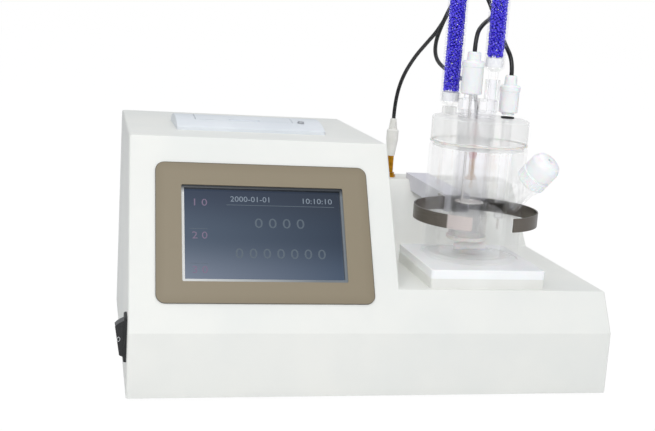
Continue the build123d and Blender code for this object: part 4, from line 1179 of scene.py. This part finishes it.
@dataclass
class DisplayUnit:
    """The membrane, the screen's frame and the lit screen on the sloped front."""

    screen_depth: float = 2.97
    text_size: float = 1.42
    ink_height: float = 0.02
    lines: tuple[ScreenLine, ...] = SCREEN_LINES
    bars: tuple[tuple[float, float, float, float], ...] = (
        (66.8, 92.7, 76.5, 0.45),
        (41.0, 74.8, 12.3, 0.3),
        (41.0, 49.7, 12.3, 0.3),
    )

    def build(self) -> None:
        """Dress the display's pieces."""
        dress(MEMBRANE, "display_overlay")
        dress(FRAME_FINISH, "display_frame")
        dress(PICTURE, "touch_screen")
        dress(TIN, "display_module")
        for line in self.lines:
            self.written(line)
        self.rules()

    def written(self, line: ScreenLine) -> bpy.types.Object:
        """Set one row of digits on the screen.

        Args:
            line: The row.

        Returns:
            The digits, as one mesh.
        """
        curve = bpy.data.curves.new(line.name, "FONT")
        curve.body = line.digits
        curve.size = line.height * self.text_size * MM
        curve.extrude = self.ink_height / 2 * MM
        curve.resolution_u = 3
        text = link(line.name, curve)
        bpy.context.view_layer.update()
        solid = text.evaluated_get(bpy.context.evaluated_depsgraph_get())
        mesh = bpy.data.meshes.new_from_object(solid)
        bpy.data.objects.remove(text, do_unlink=True)
        wide = max(vertex.co.x for vertex in mesh.vertices)
        mesh.transform(Matrix.Diagonal((line.width * MM / wide, 1.0, 1.0, 1.0)))
        SLOPE.lay(mesh, line.across, line.up, self.screen_depth)
        return outfit(keep_mesh(line.name, mesh), "console", "screen", line.ink)

    def rules(self) -> bpy.types.Object:
        """The thin line under the date and the short lines over the keys."""
        bars = []
        for across, up, width, height in self.bars:
            corner = np.array([(0, 0, 0), (width, 0, 0), (width, height, 0), (0, height, 0)], float)
            low = corner + (across, up, 0.0)
            bars.append(np.concatenate([low, low + (0, 0, self.ink_height)]) * MM)
        points = np.concatenate(bars)
        walls = [(n, (n + 1) % 4, (n + 1) % 4 + 4, n + 4) for n in range(4)]
        box = np.array([(3, 2, 1, 0), (4, 5, 6, 7), *walls])
        faces = (box[None] + 8 * np.arange(len(bars))[:, None, None]).reshape(-1, 4)
        mesh = new_mesh("screen_rules", points, faces)
        SLOPE.lay(mesh, 0.0, 0.0, self.screen_depth)
        return outfit(keep_mesh("screen_rules", mesh), "console", "screen", READOUT_INK)


@dataclass
class PowerSwitch:
    """The rocker switch in the left side."""

    mark_centre: Point = (-5.3, 15.56, 35.6)
    mark_half: Pair = (0.95, 1.5)
    mark_line: float = 0.2
    mark_steps: int = 33

    def mark(self) -> bpy.types.Object:
        """Draw the ring that stands for off: an ellipse of fine line on the rocker's side."""
        angle = np.linspace(0.0, FULL_TURN, self.mark_steps)
        x, y, z = self.mark_centre
        wide, high = self.mark_half
        level = np.full(self.mark_steps, y)
        ring = np.stack([x + wide * np.cos(angle), level, z + high * np.sin(angle)], -1)
        mesh = wires_mesh("off_mark", ring[None], self.mark_line, BACK, 8)
        return keep_mesh("off_mark", mesh)

    def build(self) -> None:
        """Dress the switch's housing and rocker."""
        outfit(self.mark(), "power_rocker", "rocker", ROCKER_INK)
        dress(NYLON, "switch_housing")
        wear("power_rocker", "rocker", ROCKER_NYLON, "power_rocker")


@dataclass
class ReceiptPrinter:
    """The receipt printer in the tower's top."""

    def build(self) -> None:
        """Dress the printer's pieces."""
        wear("console", "printer_grey", PRINTER_ABS, "printer_case")
        wear("printer_cover", "printer_grey", PRINTER_ABS, "printer_cover")
        wear("platen", "soft_black", RUBBER, "platen_roller")
        wear("paper_roll", "paper", PAPER, "paper_roll")
        wear("feed_button", "silver", ANODISED, "feed_button")
        dress(ANODISED, "print_head")


@dataclass
class StirrerStand:
    """The plate that the cell stands on, with the magnetic stirrer under it."""

    def build(self) -> None:
        """Dress the spacer, the plate, the motor and its rotor."""
        wear("console", "spacer", SPACER_ABS, "stirrer_base")
        wear("console", "plate", PLATE_ACRYLIC, "cell_plate")
        dress(MOTOR_STEEL, "stirrer_motor")
        dress(NYLON, "stirrer_rotor")


@dataclass
class TitrationVessel:
    """The glass vessel with its side arm, septum, screw cap and stirring bar."""

    centre: Pair = (252.7, 69.0)
    bottom: float = 83.8
    height: float = 85.3
    radius: float = 36.0
    wall: float = 2.4
    floor: float = 4.0
    arm_rise: float = 49.0
    arm_turn: float = -51.0
    arm_height: float = 52.7
    arm_radius: float = 8.6
    arm_bore: float = 6.6
    arm_length: float = 29.0
    dish: float = 0.7
    foot_round: float = 3.6
    arm_root: float = -12.0
    bead: tuple[float, float, float, float] = (9.8, 9.9, 13.1, 13.2)
    bead_height: float = 1.4
    turns: int = 160
    arm_turns: int = 96

    def arm_axis(self) -> tuple[Point, Point]:
        """The side arm's start on the vessel's wall, and its direction."""
        turn, rise = math.radians(self.arm_turn), math.radians(self.arm_rise)
        start = (
            self.centre[0] + self.radius * math.cos(turn),
            self.centre[1] + self.radius * math.sin(turn),
            self.bottom + self.arm_height,
        )
        direction = (
            math.cos(rise) * math.cos(turn),
            math.cos(rise) * math.sin(turn),
            math.sin(rise),
        )
        return start, direction

    def glass(self) -> bpy.types.Object:
        """Blow the vessel: a round-footed pot and a slanting arm that opens into it."""
        base = (self.centre[0], self.centre[1], self.bottom)
        start, direction = self.arm_axis()
        pot = lathe_mesh(
            "pot",
            [(0, self.dish), (self.radius, 0), (self.radius, self.height), (0, self.height)],
            base,
            radius=self.foot_round,
            turns=self.turns,
        )
        inner, brim = self.radius - self.wall, self.height + 8
        hollow = lathe_mesh(
            "hollow",
            [(0, self.floor), (inner, self.floor), (inner, brim), (0, brim)],
            base,
            radius=self.wall,
            turns=self.turns,
        )
        rim = self.arm_radius + self.bead_height
        arm = lathe_mesh(
            "arm",
            [
                (0, self.arm_root),
                (self.arm_radius, self.arm_root),
                *zip((self.arm_radius, rim, rim, self.arm_radius), self.bead),
                (self.arm_radius, self.arm_length),
                (0, self.arm_length),
            ],
            start,
            direction=direction,
            radius=0.5,
            turns=self.arm_turns,
        )
        low, high = self.arm_root - 2, self.arm_length + 1
        bore = lathe_mesh(
            "bore",
            [(0, low), (self.arm_bore, low), (self.arm_bore, high), (0, high)],
            start,
            direction=direction,
            radius=0.0,
            turns=self.arm_turns,
        )
        steps = [(arm, Step.JOIN), (hollow, Step.CUT), (bore, Step.CUT)]
        return combined("glass_vessel", pot, steps)

    def build(self) -> None:
        """Make the vessel and dress the pieces on it."""
        outfit(self.glass(), "vessel", "glass", BOROSILICATE, "cell_vessel")
        dress(SILICONE, "septum")
        wear("septum_cap", "white_plastic", FLUOROPOLYMER, "septum_cap")
        wear("stir_bar", "white_plastic", FLUOROPOLYMER, "stir_bar")


def raised(ring: np.ndarray, height: float) -> np.ndarray:
    """Lift a ring's points, given by two, to one height."""
    return np.concatenate([ring, np.full((len(ring), 1), height)], -1)


@dataclass
class CellHead:
    """The lid with its electrodes, caps and plugs, lifted off as one."""

    chamber: Pair = (250.5, 72.0)
    chamber_bottom: float = 99.4
    gauze_radius: float = 13.9
    gauze_height: float = 16.0
    gauze_gap: float = 8.0
    gauze_wire: float = 0.1
    gauze_uprights: int = 46
    gauze_hoops: int = 10
    cathode: Pair = (244.4, 71.4)
    cathode_top: float = 204.0
    grid_height: float = 124.5
    grid_radius: float = 10.3
    grid_reach: float = 9.0
    grid_pitch: float = 1.5
    grid_wire: float = 0.14
    rim_radius: float = 10.1
    rim_wire: float = 0.38
    rod_radius: float = 1.0
    probe: Pair = (274.9, 73.0)
    probe_bottom: float = 111.9
    pin_length: float = 8.0
    pin_radius: float = 0.5
    pin_offset: float = 1.3

    def anode_wires(self) -> list[bpy.types.Mesh]:
        """Weave the gauze round the chamber's foot: upright wires and hoops, open at the back."""
        opening = self.gauze_gap / 2 / self.gauze_radius
        low, high = self.chamber_bottom + 1.1, self.chamber_bottom + 0.9 + self.gauze_height
        start, end = math.pi / 2 + opening, 2.5 * math.pi - opening
        angle = np.linspace(start, end, self.gauze_uprights)
        ring = circle(self.chamber, self.gauze_radius, angle)
        uprights = np.stack([raised(ring, z) for z in (low, high)], 1)
        heights = np.linspace(low + 0.2, high - 0.2, self.gauze_hoops)
        hoops = np.stack([raised(ring, z) for z in heights])
        return [
            wires_mesh("upright_wires", uprights, self.gauze_wire, RIGHT),
            wires_mesh("hoop_wires", hoops, self.gauze_wire, UP),
        ]

    def cathode_wires(self) -> list[bpy.types.Mesh]:
        """Weave the cathode's disc inside a stout rim, and hang it on its rod."""
        x, y = self.chamber
        offset = np.arange(-self.grid_reach, self.grid_reach + 0.1, self.grid_pitch)
        half = np.sqrt(self.grid_radius**2 - offset**2)
        level = np.full(len(offset), self.grid_height)
        along_x = np.stack([np.stack([x + s * half, y + offset, level], -1) for s in (-1, 1)], 1)
        along_y = np.stack([np.stack([x + offset, y + s * half, level], -1) for s in (-1, 1)], 1)
        angle = np.linspace(0.0, FULL_TURN, 49)
        rim = raised(circle(self.chamber, self.rim_radius, angle), self.grid_height)
        rod = np.array([[(*self.cathode, self.grid_height), (*self.cathode, self.cathode_top)]])
        return [
            wires_mesh("mesh_wires", along_x, self.grid_wire, UP),
            wires_mesh("cross_wires", along_y, self.grid_wire, UP),
            wires_mesh("rim_wire", rim[None], self.rim_wire, UP, 10),
            wires_mesh("cathode_rod", rod, self.rod_radius, RIGHT, 24),
        ]

    def measuring_wires(self) -> bpy.types.Mesh:
        """The measuring electrode's two pins."""
        x, y = self.probe
        low, high = self.probe_bottom - self.pin_length, self.probe_bottom
        sides = (y - self.pin_offset, y + self.pin_offset)
        pins = np.array([[(x, side, low), (x, side, high)] for side in sides])
        return wires_mesh("measuring_wires", pins, self.pin_radius, RIGHT, 16)

    def electrodes(self) -> bpy.types.Object:
        """Join all the platinum into one piece."""
        work = bmesh.new()
        for mesh in (*self.anode_wires(), *self.cathode_wires(), self.measuring_wires()):
            work.from_mesh(mesh)
            bpy.data.meshes.remove(mesh)
        whole = bpy.data.meshes.new("platinum_electrodes")
        work.to_mesh(whole)
        work.free()
        return keep_mesh("platinum_electrodes", whole)

    def build(self) -> None:
        """Make the electrodes and dress the head's pieces."""
        wear("cell_head", "acrylic", LID_ACRYLIC, "cell_lid")
        wear("cell_head", "glass", CHAMBER_GLASS, "cathode_chamber")
        wear("cell_head", "acrylic", HEAD_GLASS, "chamber_head")
        wear("cell_head", "glass", CHAMBER_GLASS, "measuring_probe")
        wear("cell_head", "frit", SINTER, "chamber_frit")
        outfit(self.electrodes(), "cell_head", "platinum", PLATINUM, "electrodes")
        wear("cell_head", "white_plastic", FLUOROPOLYMER, "cathode_cap")
        wear("cell_head", "white_plastic", FLUOROPOLYMER, "probe_cap")
        wear("cell_head", "soft_black", RUBBER, "probe_seal")
        wear("cell_head", "silicone", SILICONE, "lid_seal")


@dataclass
class DryingTube:
    """A glass tube of blue silica gel between wool, with a rubber stopper."""

    side: str
    body: str
    axis: Pair
    gel_bottom: float
    gel_top: float
    gel_radius: float = 6.45
    lump_radius: float = 1.25
    layers: tuple[Pair, Pair] = ((1.0, 2.1), (0.62, 2.4))
    packing: float = 0.866
    seed: int = 7

    def gel(self) -> bpy.types.Object:
        """Fill the tube with lumps: a spiral of them at the glass round an inner column.

        Lump n of a layer stands at the angle n times the golden angle and at a height that
        grows evenly with n, so that the lumps lie evenly over the cylinder.

        Returns:
            The lumps, as one mesh.
        """
        chance = np.random.default_rng(len(self.side))
        height = self.gel_top - self.gel_bottom - 2 * self.lump_radius
        found = []
        for share, spacing in self.layers:
            reach = (self.gel_radius - self.lump_radius) * share
            count = int(FULL_TURN * reach * height / (self.packing * spacing**2))
            n = np.arange(count)
            angle = n * math.pi * (3 - math.sqrt(5)) + chance.normal(0.0, 0.05, count)
            rise = height * (n + 0.5) / count + chance.normal(0.0, 0.25, count)
            rise = np.clip(rise, 0.0, height) + self.gel_bottom + self.lump_radius
            depth = reach - np.abs(chance.normal(0.0, 0.12, count))
            found.append(np.stack([depth * np.cos(angle), depth * np.sin(angle), rise], -1))
        centres = (np.concatenate(found) + (*self.axis, 0.0) + np.array(CORNER)) * MM
        name = "gel_lumps_" + self.side
        mesh = lumps_mesh(name, centres, self.lump_radius * MM, self.seed)
        return keep_mesh(name, mesh, 20.0)

    def build(self) -> None:
        """Make the gel and dress the tube's pieces."""
        wear(self.body, "glass", DRAWN_GLASS, "drying_tube_" + self.side)
        outfit(self.gel(), self.body, "gel", GEL, "silica_gel_" + self.side)
        dress(WOOL, "wool_" + self.side)
        wear(self.body, "silicone", SILICONE, "tube_stopper_" + self.side)


@dataclass
class ClampBand:
    """The open steel band round the vessel, on its bracket."""

    def build(self) -> None:
        """Dress the band and the bracket."""
        wear("console", "steel", STAINLESS, "clamp_band")
        wear("console", "printer_grey", BRACKET_PAINT, "clamp_bracket")


@dataclass
class Connections:
    """The jacks on the case and the plugs in them."""

    def build(self) -> None:
        """Dress the jacks, the pins and the two handles."""
        wear("console", "gold", GOLD, "signal_jacks")
        dress(GOLD, "plug_pins")
        dress(WHITE_VINYL, "white_plug")
        dress(RED_VINYL, "red_plug")


# ============================================================ studio
WHITE = (1.0, 1.0, 1.0, 1.0)


def seen_directly(tree: Tree) -> Socket:
    """One where the camera, or a ray through glass, meets the surface, otherwise nought."""
    rays = add_node(tree, "LightPath").outputs
    return sum_of(tree, "MAXIMUM", rays["Is Camera Ray"], rays["Is Transmission Ray"])


def mix_shaders(tree: Tree, share: Socket, first: bpy.types.Node, second: bpy.types.Node) -> Socket:
    """Blend two shaders, from the first at nought to the second at one."""
    joined = {0: share, 1: first.outputs[0], 2: second.outputs[0]}
    return add_node(tree, "MixShader", links=joined).outputs[0]


@dataclass(frozen=True)
class WhiteTable(Finish):
    """A white table top that glows to the eye, so that it runs into the room behind."""

    name: str = "matt_white_table"

    def paint(self, surface: Surface) -> None:
        """Mix the glow in wherever the table is seen directly."""
        tree = surface.tree
        surface.put(Base_Color="F4F4F4", Roughness=0.25)
        glow = add_node(tree, "Emission", {"Color": WHITE, "Strength": 1.03})
        share = sum_of(tree, "MULTIPLY", seen_directly(tree), 0.95)
        output = next(node for node in tree.nodes if node.type == "OUTPUT_MATERIAL")
        mixed = mix_shaders(tree, share, surface.shader, glow)
        tree.links.new(mixed, output.inputs["Surface"])


TABLE = WhiteTable()


@dataclass
class Studio:
    """The plain pale room that the titrator is seen in."""

    camera_place: Point = (-30.3, -699.5, 260.1)
    yaw: float = 12.68
    pitch: float = 10.65
    roll: float = 3.73
    focal_pixels: float = 1108.0
    frame_pixels: float = 655.0
    sensor_mm: float = 36.0
    floor_reach: float = 6.0
    aim: Point = (0.0, 0.0, 0.12)

    def camera(self) -> None:
        """Set the camera: its axes come from yaw, pitch and roll, in that order."""
        yaw, pitch, roll = (math.radians(a) for a in (self.yaw, self.pitch, self.roll))
        ahead = Vector((math.sin(yaw), math.cos(yaw), 0.0))
        forward = math.cos(pitch) * ahead - math.sin(pitch) * Vector(UP)
        level = Vector((math.cos(yaw), -math.sin(yaw), 0.0))
        upright = level.cross(forward)
        right = math.cos(roll) * level + math.sin(roll) * upright
        up = -math.sin(roll) * level + math.cos(roll) * upright
        lens = bpy.data.cameras.new("camera")
        lens.sensor_width = self.sensor_mm
        lens.lens = self.focal_pixels / self.frame_pixels * self.sensor_mm
        lens.clip_start, lens.clip_end = 0.05, 20.0
        camera = link("camera", lens)
        turn = Matrix((right, up, -forward)).transposed().to_quaternion()
        spot = Vector(place(*self.camera_place))
        camera.matrix_world = Matrix.LocRotScale(spot, turn, None)
        bpy.context.scene.camera = camera

    def lamp(self, name: str, at: Point, size: float, watts: float) -> None:
        """Hang a square soft white light that faces the cell's shelf.

        Args:
            name: The lamp's name.
            at: Its place in metres.
            size: Its side in metres.
            watts: Its power.
        """
        light = bpy.data.lights.new(name, "AREA")
        light.size = size
        light.energy = watts
        lamp = link(name, light)
        lamp.location = at
        lamp.rotation_euler = (Vector(self.aim) - Vector(at)).to_track_quat("-Z", "Y").to_euler()

    def room(self) -> None:
        """Light the world evenly and make it white to the eye."""
        world = bpy.data.worlds.new("studio")
        world.use_nodes = True
        tree = world.node_tree
        tree.nodes.clear()
        plain = add_node(tree, "Background", {"Color": WHITE, "Strength": 1.0})
        soft = add_node(tree, "Background", {"Color": (0.93, 0.96, 1.0, 1.0), "Strength": 0.5})
        mixed = mix_shaders(tree, seen_directly(tree), soft, plain)
        add_node(tree, "OutputWorld", links={"Surface": mixed})
        bpy.context.scene.world = world

    def floor(self) -> None:
        """Lay a large white floor with a faint gloss."""
        corners = np.array([(x, y, 0.0) for x, y in ((-1, -1), (1, -1), (1, 1), (-1, 1))])
        floor = link("floor", new_mesh("floor", corners * self.floor_reach, [(0, 1, 2, 3)]))
        floor.data.materials.append(TABLE.made())

    def build(self) -> None:
        """Set up the room, the floor and the lamps."""
        self.room()
        self.floor()
        self.lamp("key", (-0.7, -1.45, 1.15), 1.2, 15.8)
        self.lamp("fill", (1.2, -1.0, 0.9), 1.2, 4.0)
        self.lamp("top", (0.1, 0.3, 1.6), 1.4, 7.6)


def main() -> None:
    """Build the titrator's looks around its fixed frame."""
    logging.basicConfig(level=logging.INFO, format="%(message)s")
    bpy.context.scene.view_settings.view_transform = "Standard"
    studio = Studio()
    studio.camera()
    WHITE_LEAD.build()
    RED_LEAD.build()
    for unit in (
        Housing(),
        Electronics(),
        DisplayUnit(),
        PowerSwitch(),
        ReceiptPrinter(),
        StirrerStand(),
        TitrationVessel(),
        CellHead(),
        DryingTube("left", "left_tube", (234.6, 88.6), 203.6, 278.9),
        DryingTube("right", "right_tube", (260.9, 73.0), 231.1, 279.8),
        ClampBand(),
        Connections(),
    ):
        unit.build()
    studio.build()


if __name__ == "__main__":
    main()
